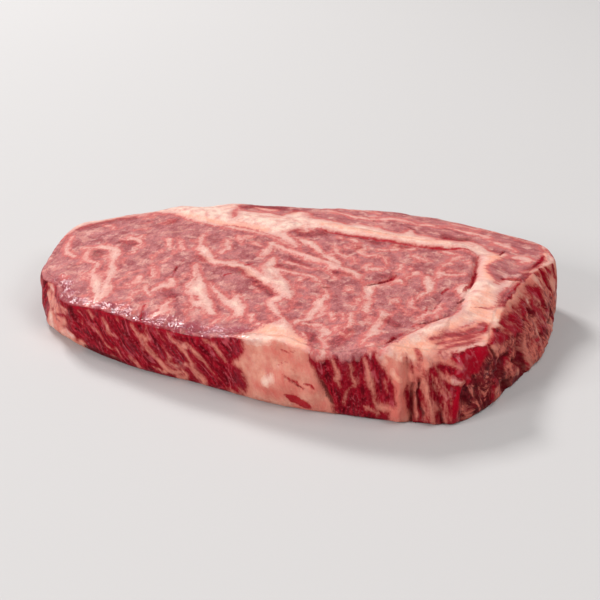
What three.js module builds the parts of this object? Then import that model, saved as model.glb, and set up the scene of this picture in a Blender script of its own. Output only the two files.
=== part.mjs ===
// A raw boneless rib-eye steak lying flat on one of its two cut faces. Lengths are in millimetres.
// X runs along the steak, Y towards its back edge and Z up; the origin is on the underside, in the
// middle of the steak's plan. The steak is one piece of meat, so it is one closed solid: its muscles,
// the seams of fat between them, the rind and the folds of the sides are relief in the one skin.
import * as THREE from 'three';

// ---------------------------------------------------------------- driving dimensions
const CROWN = 25.6;            // thickness in the middle of the eye
const CROWN_POWER = 2.4;       // how flat the top stays before it falls to the edge
const EDGE_ROUND = 3.0;        // how far in the upper edge is rounded over
const FOOT_ROUND = 1.8;        // how far in the side turns under at the foot
const SIDE_BELLY = 0.9;        // swell of the side between the two edges
const RIPPLE = 0.35;           // height of the soft ripples round the side
const RIPPLE_PITCH = 9.5;      // and their spacing
const PLAN_SHIFT = [0.56, 0.67];   // brings the middle of the plan over the origin

// Edge of the upper cut face, counter-clockwise from the left end: x, y, height above the board.
const TOP_EDGE = [
  [-97.2, -17, 18.5], [-94.5, -28, 18.2], [-89, -35.5, 18.6], [-80, -41, 18.8], [-75, -47.5, 18.2],
  [-69, -52, 18.4], [-51.7, -54.8, 20], [-28, -59.6, 21], [-7, -61, 22], [7, -61.4, 24], [22, -61, 25.8],
  [34, -62.8, 25.4], [45, -61.8, 25.2], [55, -58, 27], [69, -52, 26.4], [79, -45, 25], [84, -38.6, 24.8],
  [90, -33, 24.6], [88, -22, 24], [86.4, -3, 23.6], [87.5, 16.5, 23.8], [91.3, 33, 24], [95.2, 42, 23.6],
  [87.5, 54.8, 24], [76, 57.6, 24.5], [61, 59.8, 25], [41, 62.6, 25], [24, 62, 25], [-6.5, 54.6, 25],
  [-29.5, 49.4, 25], [-42, 47, 25], [-55, 39.8, 24], [-65, 36.4, 24], [-75, 28.5, 23], [-92.8, 15.2, 21.5],
  [-98.4, 11.5, 21], [-100.3, 2, 20.4],
];

// Edge of the face the steak lies on: x, y.
const FOOT_EDGE = [
  [-95.5, -18], [-91.5, -31], [-85.4, -40.2], [-70, -48.7], [-44, -57], [-16, -59.2], [2, -60.9],
  [20, -62.2], [43, -60.1], [67, -56], [82, -51.2], [88.7, -41.2], [93.3, -25], [98.8, -2], [100.3, 17.3],
  [96.8, 41.7], [88.5, 52.5], [62, 57.8], [30, 60.5], [-6, 52.6], [-42, 45], [-65, 34], [-92, 12], [-98, 2],
];

// Raised bands and creases of the top: rise (negative sinks), half width, then the line they follow.
const TOP_LINES = [
  { rise: 1.4, half: 5, line: [[74, 30], [76, 4], [75, -14], [71, -28], [64, -42], [58, -54]] }, // fat band
  { rise: 0.7, half: 6, line: [[-62, 31], [-38, 33], [-16, 34]] },                  // wedge of back fat
  { rise: 0.6, half: 3.5, line: [[-2, 38], [22, 36.5], [46, 36], [62, 38]] },       // fat of the chain seam
  { rise: 0.5, half: 6, line: [[-8, 50], [20, 56], [50, 54], [80, 50]] },           // cap muscle
  { rise: -0.7, half: 1.6, line: [[4, 32], [30, 31], [50, 32.5], [58, 35.5]] },     // crease under the seam
  { rise: -0.9, half: 1.6, line: [[50, 43.5], [55, 45], [60, 47]] },
  { rise: -2.4, half: 2.4, line: [[67, 31], [69.4, 20], [70.6, 12], [71.2, 2]] },   // open cleft
  { rise: -1.3, half: 2.4, line: [[72, -8], [70.5, -20], [65, -30], [60.5, -44], [56, -56]] },
  { rise: -1.0, half: 1.8, line: [[43.5, 5], [42.5, -1], [36, -8]] },               // cracks in the eye
  { rise: -0.9, half: 2.2, line: [[64, 1], [62.5, -12], [64, -20]] },
  { rise: -0.6, half: 1.5, line: [[26, -10], [21, -17]] },
  { rise: -0.5, half: 1.6, line: [[-38, -14], [-36, -28]] },
  { rise: 0.5, half: 2.2, line: [[-2, 8], [12, 4.5], [30, -3]] },                   // veins that stand up
  { rise: 0.5, half: 2.6, line: [[-8, -8], [0, -19], [12, -28]] },
];

// Broad swells of the top: centre x, y, half lengths, turn in degrees, rise.
const TOP_SWELLS = [
  [-62, 2, 26, 18, 20, 0.7], [-72, -28, 16, 9, -30, 0.5], [-22, -12, 20, 15, -20, 0.6],
  [28, 18, 24, 10, 0, 0.5], [40, -30, 22, 16, 10, 0.4], [21, -56, 13, 6, 0, 0.6], [-36, -54, 5, 4, 80, -0.8],
];

// Swells and hollows of the side: distance along the upper edge from the left end, way down the side
// from 0 at the upper edge to 1 at the foot, half length along, half height (share), slant, rise.
const SIDE_SWELLS = [
  [156, 0.62, 12, 0.30, 0, 2.0], [166, 0.48, 5, 0.06, 6, -0.8],         // fat block and the slit in it
  [181, 0.55, 7, 0.50, 0, -1.0], [197.5, 0.5, 2.4, 0.60, 0, 1.4],       // lean beside it, upright fold
  [202, 0.5, 1.5, 0.45, 0, -1.4], [208, 0.6, 1.6, 0.40, 4, 0.8],
  [226, 0.68, 6, 0.25, 0, -1.4], [216, 0.62, 2.2, 0.40, -6, 1.0],       // hollow behind the front corner
  [240, 0.52, 8, 0.10, 0, -1.8], [245, 0.88, 4, 0.10, 0, -1.6], [257, 0.72, 5, 0.20, 0, -2.0],
  [254, 0.22, 7, 0.12, 10, 1.2], [270, 0.42, 9, 0.16, 8, 0.9], [268, 0.75, 7, 0.15, 0, 0.8],
  [290, 0.35, 7, 0.22, 0, 0.7], [104, 0.6, 3, 0.30, 8, 0.5], [125, 0.4, 2.5, 0.35, 8, 0.5],
  [56, 0.35, 6, 0.20, 0, 0.8], [48, 0.75, 5, 0.20, 0, 0.6], [350, 0.5, 12, 0.3, 0, -0.8],
  [392, 0.55, 18, 0.3, 0, 0.8], [430, 0.4, 8, 0.3, 5, -0.7], [462, 0.6, 12, 0.3, 0, 0.9],
  [500, 0.45, 10, 0.3, -5, -0.6],
];

// ---------------------------------------------------------------- mesh resolution
const HALF = 30;               // squares from the middle of the top to its edge
const SIDE_ROWS = [0.10, 0.24, 0.40, 0.56, 0.72, 0.88];   // rows of points down the side

// ---------------------------------------------------------------- outlines by angle
const TURN = 2 * Math.PI;
const modulo = (a, b) => ((a % b) + b) % b;

// Smooth closed curve through plan points: a function of the angle giving [radius, height].
function ring(points) {
  const knots = points
    .map(([x, y, z = 0]) => ({ a: modulo(Math.atan2(y, x), TURN), v: [Math.hypot(x, y), z] }))
    .sort((p, q) => p.a - q.a);
  const count = knots.length;
  const knot = (i) => {
    const k = knots[modulo(i, count)];
    return { a: k.a + TURN * Math.floor(i / count), v: k.v };
  };
  return (angle) => {
    const a = modulo(angle, TURN);
    let i = -1;
    while (i < count - 1 && knots[i + 1].a <= a) i += 1;
    const [p0, p1, p2, p3] = [knot(i - 1), knot(i), knot(i + 1), knot(i + 2)];
    const gap = p2.a - p1.a;
    const t = (a - p1.a) / gap;
    return p1.v.map((_, k) => {
      const slope1 = gap * (p2.v[k] - p0.v[k]) / (p2.a - p0.a);
      const slope2 = gap * (p3.v[k] - p1.v[k]) / (p3.a - p1.a);
      return (2 * t ** 3 - 3 * t ** 2 + 1) * p1.v[k] + (t ** 3 - 2 * t ** 2 + t) * slope1
        + (3 * t ** 2 - 2 * t ** 3) * p2.v[k] + (t ** 3 - t ** 2) * slope2;
    });
  };
}
const topEdge = ring(TOP_EDGE);
const footEdge = ring(FOOT_EDGE);
const planPoint = (edge, angle) => {
  const [r] = edge(angle);
  return [r * Math.cos(angle), r * Math.sin(angle)];
};

// Distance round the upper edge, measured from the left end, turned into the angle there.
const TABLE_STEPS = 4000;
const lengths = [0];
for (let i = 1; i <= TABLE_STEPS; i += 1) {
  const [x0, y0] = planPoint(topEdge, -Math.PI + TURN * (i - 1) / TABLE_STEPS);
  const [x1, y1] = planPoint(topEdge, -Math.PI + TURN * i / TABLE_STEPS);
  lengths.push(lengths[i - 1] + Math.hypot(x1 - x0, y1 - y0));
}
const GIRTH = lengths[TABLE_STEPS];
function angleAt(distance) {
  const d = modulo(distance, GIRTH);
  let low = 0;
  let high = TABLE_STEPS;
  while (high - low > 1) {
    const mid = (low + high) >> 1;
    if (lengths[mid] <= d) low = mid; else high = mid;
  }
  const part = (d - lengths[low]) / (lengths[high] - lengths[low]);
  return -Math.PI + TURN * (low + part) / TABLE_STEPS;
}

// ---------------------------------------------------------------- skin of the steak
const bell = (u, v = 0) => Math.exp(-u * u - v * v);
const step = (edge, t) => {
  const s = Math.min(1, Math.max(0, t / edge));
  return s * s * (3 - 2 * s);
};

function distanceToLine(x, y, line) {
  let best = Infinity;
  for (let i = 0; i + 1 < line.length; i += 1) {
    const [[x0, y0], [x1, y1]] = [line[i], line[i + 1]];
    const [dx, dy] = [x1 - x0, y1 - y0];
    const t = Math.min(1, Math.max(0, ((x - x0) * dx + (y - y0) * dy) / (dx * dx + dy * dy)));
    best = Math.min(best, Math.hypot(x - x0 - t * dx, y - y0 - t * dy));
  }
  return best;
}

function topRelief(x, y) {
  let z = 0;
  for (const [cx, cy, a, b, turn, rise] of TOP_SWELLS) {
    const t = THREE.MathUtils.degToRad(turn);
    const u = ((x - cx) * Math.cos(t) + (y - cy) * Math.sin(t)) / a;
    const v = ((y - cy) * Math.cos(t) - (x - cx) * Math.sin(t)) / b;
    z += rise * bell(u, v);
  }
  for (const { rise, half, line } of TOP_LINES) z += rise * bell(distanceToLine(x, y, line) / half);
  return z;
}

function topHeight(x, y) {
  const [reach, edge] = topEdge(Math.atan2(y, x));
  const share = Math.min(1, Math.hypot(x, y) / reach);
  return edge + (CROWN - edge) * (1 - share ** CROWN_POWER) + topRelief(x, y);
}

// Plan normal of the upper edge, pointing out of the meat.
function outward(distance) {
  const reach = 2;
  const [x0, y0] = planPoint(topEdge, angleAt(distance - reach));
  const [x1, y1] = planPoint(topEdge, angleAt(distance + reach));
  const length = Math.hypot(x1 - x0, y1 - y0);
  return [(y1 - y0) / length, -(x1 - x0) / length];
}

function sideRise(distance, down) {
  let rise = SIDE_BELLY * Math.sin(Math.PI * down);
  const fade = step(0.14, down) * step(0.14, 1 - down);
  rise += fade * RIPPLE * Math.sin(TURN * Math.round(GIRTH / RIPPLE_PITCH) * distance / GIRTH + 3 * down);
  for (const [at, middle, along, high, slant, out] of SIDE_SWELLS) {
    const u = (distance - at - slant * (down - middle)) / along;
    rise += fade * out * bell(u, (down - middle) / high);
  }
  return rise;
}

// A point of the straight side, from the upper edge (down 0) to the foot (down 1).
function sidePoint(distance, down) {
  const angle = angleAt(distance);
  const [tx, ty] = planPoint(topEdge, angle);
  const [fx, fy] = planPoint(footEdge, angle);
  const [nx, ny] = outward(distance);
  const out = sideRise(distance, down);
  return [tx + (fx - tx) * down + nx * out, ty + (fy - ty) * down + ny * out,
    topHeight(tx, ty) * (1 - down)];
}

// Rounds a corner: the point at share t of the curve from a to b that leans towards the corner.
const rounded = (a, corner, b, t) => a.map((v, k) =>
  (1 - t) ** 2 * v + 2 * t * (1 - t) * corner[k] + t ** 2 * b[k]);

function innerPoint(distance, inset) {
  const [x, y] = planPoint(topEdge, angleAt(distance));
  const [nx, ny] = outward(distance);
  return [x - nx * inset, y - ny * inset];
}

// ---------------------------------------------------------------- mesh
const positions = [];
const indices = [];
const addPoint = (p) => positions.push(...p) / 3 - 1;
const addQuad = (a, b, c, d) => indices.push(a, b, c, a, c, d);

// Upper face: a square net pressed into the outline, so its border runs evenly round the edge.
const border = new Array(8 * HALF);
const net = [];
for (let j = -HALF; j <= HALF; j += 1) {
  const row = [];
  for (let i = -HALF; i <= HALF; i += 1) {
    const size = Math.max(Math.abs(i), Math.abs(j));
    let turn = 0;
    if (size > 0 && Math.abs(i) >= Math.abs(j)) turn = (i > 0 ? 0 : 4) + j / i;
    else if (size > 0) turn = (j > 0 ? 2 : 6) - i / j;
    const distance = GIRTH * modulo(turn, 8) / 8;
    const [ex, ey] = innerPoint(distance, EDGE_ROUND);
    const [x, y] = [ex * size / HALF, ey * size / HALF];
    const index = addPoint([x, y, topHeight(x, y)]);
    if (size === HALF) border[Math.round(modulo(turn, 8) * HALF) % border.length] = index;
    row.push(index);
  }
  net.push(row);
}
for (let j = 0; j < 2 * HALF; j += 1) {
  for (let i = 0; i < 2 * HALF; i += 1) {
    addQuad(net[j][i], net[j][i + 1], net[j + 1][i + 1], net[j + 1][i]);
  }
}

// Side: rounded over at the top, down the side, turned under at the foot.
const rows = [border];
const sideRow = (make) => rows.push(border.map((_, k) => addPoint(make(GIRTH * k / border.length))));
for (const t of [0.5, 1]) {
  sideRow((d) => {
    const [ix, iy] = innerPoint(d, EDGE_ROUND);
    return rounded([ix, iy, topHeight(ix, iy)], sidePoint(d, 0), sidePoint(d, SIDE_ROWS[0]), t);
  });
}
for (const down of SIDE_ROWS.slice(1)) sideRow((d) => sidePoint(d, down));
const footPoint = (d, inset) => {
  const [x, y] = sidePoint(d, 1);
  const [nx, ny] = outward(d);
  return [x - nx * inset, y - ny * inset, 0];
};
sideRow((d) => rounded(sidePoint(d, SIDE_ROWS.at(-1)), footPoint(d, 0), footPoint(d, FOOT_ROUND), 0.6));
sideRow((d) => footPoint(d, FOOT_ROUND));
for (let r = 0; r + 1 < rows.length; r += 1) {
  for (let k = 0; k < border.length; k += 1) {
    const next = (k + 1) % border.length;
    addQuad(rows[r][k], rows[r + 1][k], rows[r + 1][next], rows[r][next]);
  }
}

// Underside: flat, so the steak rests on all of it.
const last = rows.at(-1);
const middle = addPoint([0, 0, 0]);
last.forEach((index, k) => indices.push(middle, last[(k + 1) % last.length], index));

const geometry = new THREE.BufferGeometry();
geometry.setAttribute('position', new THREE.Float32BufferAttribute(positions, 3));
geometry.setIndex(indices);
geometry.computeVertexNormals();

const meat = new THREE.MeshStandardMaterial({ color: 0xb5625c, roughness: 0.45, metalness: 0 });
const steak = new THREE.Mesh(geometry, meat);
steak.name = 'steak';
steak.position.set(...PLAN_SHIFT, 0);

const group = new THREE.Group();
group.name = 'rib_eye_steak';
group.add(steak);
export default group;
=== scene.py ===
"""A raw boneless rib-eye steak: one piece of meat with its marbling, seams of fat and fibrous sides.

The steak's sizes and tables are in millimetres, and its mesh turns them to metres; the stage is in
metres. X runs along the steak, Y to its back edge and Z up, and it lies on its lower cut face at Z = 0.
"""
import math

import bpy
import numpy as np
from bpy.props import FloatProperty, FloatVectorProperty, PointerProperty
from bpy.types import Operator, Panel, PropertyGroup
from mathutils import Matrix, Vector


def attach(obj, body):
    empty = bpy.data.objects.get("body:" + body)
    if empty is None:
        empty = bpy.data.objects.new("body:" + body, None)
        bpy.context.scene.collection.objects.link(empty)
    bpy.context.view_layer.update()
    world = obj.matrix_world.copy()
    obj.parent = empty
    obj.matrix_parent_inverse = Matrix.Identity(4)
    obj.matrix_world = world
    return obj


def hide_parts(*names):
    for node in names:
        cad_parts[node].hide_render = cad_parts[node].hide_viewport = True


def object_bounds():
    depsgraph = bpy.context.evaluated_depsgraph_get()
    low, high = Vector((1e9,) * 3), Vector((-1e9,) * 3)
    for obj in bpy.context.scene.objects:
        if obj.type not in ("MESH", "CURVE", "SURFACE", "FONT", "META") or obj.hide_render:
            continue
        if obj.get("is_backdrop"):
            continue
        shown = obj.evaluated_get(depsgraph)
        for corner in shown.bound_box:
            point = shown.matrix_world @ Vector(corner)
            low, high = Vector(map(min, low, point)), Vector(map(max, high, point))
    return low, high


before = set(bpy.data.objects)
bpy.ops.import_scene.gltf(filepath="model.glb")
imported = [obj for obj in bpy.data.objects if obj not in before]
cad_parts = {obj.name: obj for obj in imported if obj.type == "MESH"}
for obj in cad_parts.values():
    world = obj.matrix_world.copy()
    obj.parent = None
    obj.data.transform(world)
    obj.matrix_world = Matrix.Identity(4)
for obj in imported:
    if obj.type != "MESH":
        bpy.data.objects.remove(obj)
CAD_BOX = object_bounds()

bl_info = {
    "name": "Rib-eye steak",
    "version": (1, 0, 0),
    "blender": (4, 5, 0),
    "location": "View3D > Sidebar > Steak",
    "description": "Builds a raw rib-eye steak and the studio it is shown in",
    "category": "Add Mesh",
}

MM = 0.001
TURN = 2 * math.pi
TINY = 1e-9              # keeps a division away from zero

# ------------------------------------------------------------------ form, as the solid has it
CROWN = 25.6             # thickness in the middle of the eye
CROWN_POWER = 2.4        # how flat the top stays before it falls to the edge
EDGE_ROUND = 3.0         # how far in the upper edge is rounded over
FOOT_ROUND = 1.8         # how far in the side turns under at the foot
SIDE_BELLY = 0.9         # swell of the side between the two edges
RIPPLE = 0.35            # height of the soft ripples round the side
RIPPLE_PITCH = 9.5       # and their spacing
RIPPLE_LEAN = 3.0        # radians by which a ripple's phase shifts from the edge to the foot
SWELL_FADE = 0.14        # share of the side over which its swells die out at the edge and the foot
PLAN_SHIFT = (0.56, 0.67)    # brings the middle of the plan over the origin

# Edge of the upper cut face, counter-clockwise from the left end: x, y, height.
TOP_EDGE = [
    (-97.2, -17, 18.5), (-94.5, -28, 18.2), (-89, -35.5, 18.6), (-80, -41, 19.2), (-75, -47.5, 19.0),
    (-69, -52, 19.4), (-51.7, -54.8, 21), (-28, -59.6, 21.8), (-7, -61, 22), (7, -61.4, 24),
    (22, -61, 25.8), (34, -62.8, 25.4), (45, -61.8, 25.2), (55, -58, 27), (69, -52, 26.4),
    (79, -45, 25), (84, -38.6, 24.8), (90, -33, 24.6), (88, -22, 24), (86.4, -3, 23.6),
    (87.5, 16.5, 23.8), (91.3, 33, 24), (95.2, 42, 23.6), (87.5, 54.8, 24), (76, 57.6, 24.5),
    (61, 59.8, 25), (41, 62.6, 25), (24, 62, 25), (-6.5, 54.6, 25), (-29.5, 49.4, 25), (-42, 47, 25),
    (-55, 39.8, 24), (-65, 36.4, 24), (-75, 28.5, 23), (-92.8, 15.2, 21.5), (-98.4, 11.5, 21),
    (-100.3, 2, 20.4),
]
# Edge of the face the steak lies on: x, y.
FOOT_EDGE = [
    (-95.5, -18), (-91.5, -31), (-85.4, -40.2), (-70, -48.7), (-44, -57), (-16, -59.2), (2, -60.9),
    (20, -62.2), (43, -60.1), (67, -56), (82, -51.2), (88.7, -41.2), (93.3, -25), (98.8, -2),
    (100.3, 17.3), (96.8, 41.7), (88.5, 52.5), (62, 57.8), (30, 60.5), (-6, 52.6), (-42, 45), (-65, 34),
    (-92, 12), (-98, 2),
]
# Raised bands and creases of the top: rise (negative sinks), half width, line.
TOP_LINES = [
    (1.4, 5, [(74, 30), (76, 4), (75, -14), (71, -28), (64, -42), (58, -54)]),
    (0.7, 6, [(-62, 31), (-38, 33), (-16, 34)]), (0.6, 3.5, [(-2, 38), (22, 36.5), (46, 36), (62, 38)]),
    (0.5, 6, [(-8, 50), (20, 56), (50, 54), (80, 50)]),
    (-0.6, 1.0, [(4, 32), (30, 31), (50, 32.5), (58, 35.5)]),
    (-0.8, 0.8, [(50, 43.5), (55, 45), (60, 47)]),
    (-1.7, 1.0, [(67, 31), (69.4, 20), (70.6, 12), (71.2, 2)]),
    (-0.9, 1.2, [(72, -8), (70.5, -20), (65, -30), (60.5, -44), (56, -56)]),
    (-0.7, 0.8, [(43.5, 5), (42.5, -1), (36, -8)]), (-0.6, 1.0, [(64, 1), (62.5, -12), (64, -20)]),
    (-0.5, 0.8, [(26, -10), (21, -17)]), (-0.4, 0.8, [(-38, -14), (-36, -28)]),
    (-0.9, 5.0, [(-98, -24), (-90, -38), (-76, -50), (-69, -54), (-51.7, -56.8), (-28, -61.6),
     (-7, -63)]),
    (0.5, 2.2, [(-2, 8), (12, 4.5), (30, -3)]), (0.5, 2.6, [(-8, -8), (0, -19), (12, -28)]),
]
# Broad swells of the top: centre x, y, half lengths, turn in degrees, rise.
TOP_SWELLS = [
    (-62, 2, 26, 18, 20, 0.7), (-72, -28, 16, 9, -30, 0.5), (-22, -12, 20, 15, -20, 0.6),
    (28, 18, 24, 10, 0, 0.5), (40, -30, 22, 16, 10, 0.4), (21, -56, 13, 6, 0, 0.6),
    (-36, -54, 5, 4, 80, -0.8),
]
# Swells and hollows of the side: distance along the upper edge from the left end, share of the way
# down, half length, half height (share), slant, rise.
SIDE_SWELLS = [
    (156, 0.62, 12, 0.30, 0, 2.0), (166, 0.48, 5, 0.06, 6, -0.8), (181, 0.55, 7, 0.50, 0, -1.0),
    (197.5, 0.5, 2.4, 0.60, 0, 0.9), (202, 0.5, 1.5, 0.45, 0, -0.9), (208, 0.6, 1.6, 0.40, 4, 0.8),
    (226, 0.68, 6, 0.25, 0, -1.4), (216, 0.62, 2.2, 0.40, -6, 1.0), (240, 0.52, 8, 0.10, 0, -1.8),
    (245, 0.88, 4, 0.10, 0, -1.6), (257, 0.72, 5, 0.20, 0, -2.0), (254, 0.22, 7, 0.12, 10, 1.2),
    (270, 0.42, 9, 0.16, 8, 0.9), (268, 0.75, 7, 0.15, 0, 0.8), (290, 0.35, 7, 0.22, 0, 0.7),
    (104, 0.6, 3, 0.30, 8, 0.5), (125, 0.4, 2.5, 0.35, 8, 0.5), (56, 0.35, 6, 0.20, 0, 0.8),
    (48, 0.75, 5, 0.20, 0, 0.6), (350, 0.5, 12, 0.3, 0, -0.8), (392, 0.55, 18, 0.3, 0, 0.8),
    (430, 0.4, 8, 0.3, 5, -0.7), (462, 0.6, 12, 0.3, 0, 0.9), (500, 0.45, 10, 0.3, -5, -0.6),
]
# Strands, lumps and furrows of the side: rise (negative sinks), half width, line of distance and share.
SIDE_LINES = [
    # knob and slits of the block of fat
    (1.1, 3.2, [(153.5, 0.6), (158, 0.5)]),
    (-0.7, 0.5, [(160.5, 0.46), (163, 0.54), (166, 0.6), (168, 0.62)]),
    (-0.5, 0.6, [(167.5, 0.53), (170.4, 0.58)]), (-0.6, 1.6, [(144, 0.62), (144.4, 0.85)]),
    (-0.7, 0.9, [(171.6, 0.3), (174.6, 0.6), (178, 0.88)]),
    # strands of fat that hang from the band
    (1.1, 2.6, [(195, 0.06), (196.8, 0.3), (198.4, 0.55), (198.4, 0.8), (197.5, 1.0)]),
    (-0.9, 0.9, [(200.6, 0.14), (200.4, 0.35), (200.7, 0.6), (201.2, 0.9)]),
    (0.9, 0.9, [(202.4, 0.18), (202.4, 0.4)]),
    (-1.2, 0.7, [(202.8, 0.45), (202.2, 0.7), (202.0, 0.95)]),
    (0.7, 0.5, [(203.9, 0.38), (203.2, 0.6), (203.2, 0.8), (202.8, 0.95)]),
    (-1.2, 0.7, [(204.8, 0.36), (204.4, 0.6), (205.4, 0.85)]),
    (1.1, 1.2, [(206, 0.2), (206.4, 0.45), (207.2, 0.65), (208.2, 0.95)]),
    (-1.1, 0.8, [(208.6, 0.4), (209.6, 0.7), (210.6, 0.95)]),
    (0.9, 1.0, [(210, 0.25), (212, 0.55), (213.4, 0.75), (212.4, 1.0)]),
    (1.1, 1.6, [(215, 0.34), (218.6, 0.38)]), (-0.7, 0.8, [(209, 0.1), (212, 0.26), (215, 0.2)]),
    (1.2, 4.0, [(220, 0.12), (227, 0.12)]), (-0.9, 1.2, [(219.5, 0.5), (217.5, 0.72), (217, 0.95)]),
    # torn broad end: furrows, then lumps
    (-1.0, 0.7, [(233, 0.3), (238, 0.42), (243, 0.5)]),
    (-1.0, 0.7, [(233, 0.42), (238, 0.53), (243, 0.58)]),
    (-1.3, 0.8, [(236, 0.3), (243, 0.44), (250, 0.5)]),
    (-0.9, 0.9, [(232.4, 0.05), (234.4, 0.25), (232, 0.4)]),
    (-0.9, 0.8, [(251, 0.12), (254.5, 0.28), (259, 0.37)]), (-1.0, 0.8, [(262.5, 0.12), (265.5, 0.3)]),
    (-0.8, 0.7, [(271, 0.3), (270.6, 0.14)]),
    (-1.4, 1.0, [(262, 0.38), (261.6, 0.55), (260.6, 0.75), (260.8, 0.95)]),
    (-1.0, 0.8, [(274, 0.38), (279, 0.41)]), (-1.0, 0.8, [(279.6, 0.12), (280, 0.4), (279.4, 0.75)]),
    (-1.0, 0.8, [(292, 0.15), (291, 0.4), (290.6, 0.5)]), (-1.0, 0.8, [(301.6, 0.05), (302, 0.4)]),
    (-1.4, 1.4, [(290, 0.8), (297, 0.82)]), (-1.2, 0.9, [(253, 0.62), (258, 0.72)]),
    (-1.0, 1.2, [(244, 0.8), (248, 0.95)]), (-0.7, 0.7, [(285, 0.3), (288, 0.46)]),
    (1.2, 2.6, [(254, 0.2), (260, 0.3)]), (0.9, 1.6, [(265, 0.2), (269, 0.25)]),
    (0.9, 1.8, [(273, 0.17), (278, 0.22)]), (0.8, 1.4, [(243, 0.12), (248, 0.2)]),
    (0.9, 1.8, [(284, 0.22), (288.5, 0.38)]), (1.1, 4.2, [(268, 0.5), (274, 0.55)]),
    (1.0, 3.4, [(268, 0.8), (274, 0.85)]), (1.0, 2.8, [(252, 0.76), (256, 0.82)]),
    (0.8, 2.8, [(295.5, 0.3), (295.5, 0.5)]), (0.8, 2.4, [(306, 0.4), (306, 0.8)]),
    (0.7, 2.0, [(222, 0.7), (226, 0.85)]), (0.6, 1.4, [(228, 0.4), (229, 0.6)]),
]

# ------------------------------------------------------------------ where the fat lies
# Areas of solid fat on the cut face, as closed outlines x, y.
FACE_FAT_AREAS = [
    # wedge of back fat and the seam under the cap muscle
    [(-76, 28), (-66, 40), (-54, 46), (-42, 52), (-41, 43), (-37.5, 39), (-30, 39), (-25, 41),
     (-18.5, 39.5), (-17, 47), (-9.5, 46), (-8, 42), (0, 43), (9, 42), (14, 44), (22, 43), (32, 40.5),
     (34.5, 46), (38, 43), (44, 42), (50, 41.5), (57, 42.5), (62, 44.5), (68, 41), (73, 37), (68, 33.6),
     (63, 35), (59, 36.4), (55, 35.2), (49, 33.6), (40, 32.5), (28, 32.6), (3, 33), (-2, 32),
     (-8, 29.5), (-10.5, 24), (-6, 19), (-1, 13), (-5, 12.5), (-10, 16), (-16, 19), (-24, 20),
     (-36, 20.3), (-44, 20.5), (-50, 21.5), (-58, 24), (-65, 28)],
    # band of fat that comes down the broad end
    [(67.6, 33.4), (69.2, 26), (70.2, 18), (70.6, 10), (69, 8), (67, 5), (66.5, 0), (70.4, -4),
     (72, -10), (73, -18), (70, -26), (64.5, -34), (62.2, -42), (61, -50), (57, -60), (66, -60),
     (76, -56), (92, -36), (94, -20), (90, -6), (84.5, -3), (82.6, 4), (82.6, 9.5), (85.5, 15),
     (86.5, 19.5), (82.2, 17.5), (80, 12.5), (77.8, 13), (75.8, 17.5), (73, 21), (73.6, 27), (75, 33),
     (73, 38)],
    # block of fat at the front
    [(17, -45.3), (20, -49), (24, -53), (28.5, -57), (31.5, -60), (34, -66), (6, -66), (6.5, -59.5),
     (10, -57), (13, -52), (15.4, -49)],
    # two wide veins that run forward from the middle of the eye
    [(-27.5, -22.5), (-24, -26.5), (-20.5, -30.5), (-18, -34), (-15, -39), (-10.5, -44.5), (-7.5, -49),
     (-12, -48), (-15, -45), (-18.5, -46.5), (-20.5, -43), (-22.5, -39), (-25, -37), (-26.5, -32)],
    [(-21, -27.6), (-16, -31), (-11, -35.5), (-8, -36.6), (-6.6, -32.5), (-4.5, -34.5), (-2, -38.6),
     (0.5, -42), (2, -47), (-1, -48), (-4, -43.5), (-7, -41), (-11, -38.3), (-15, -34.6), (-18, -31)],
]
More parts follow.
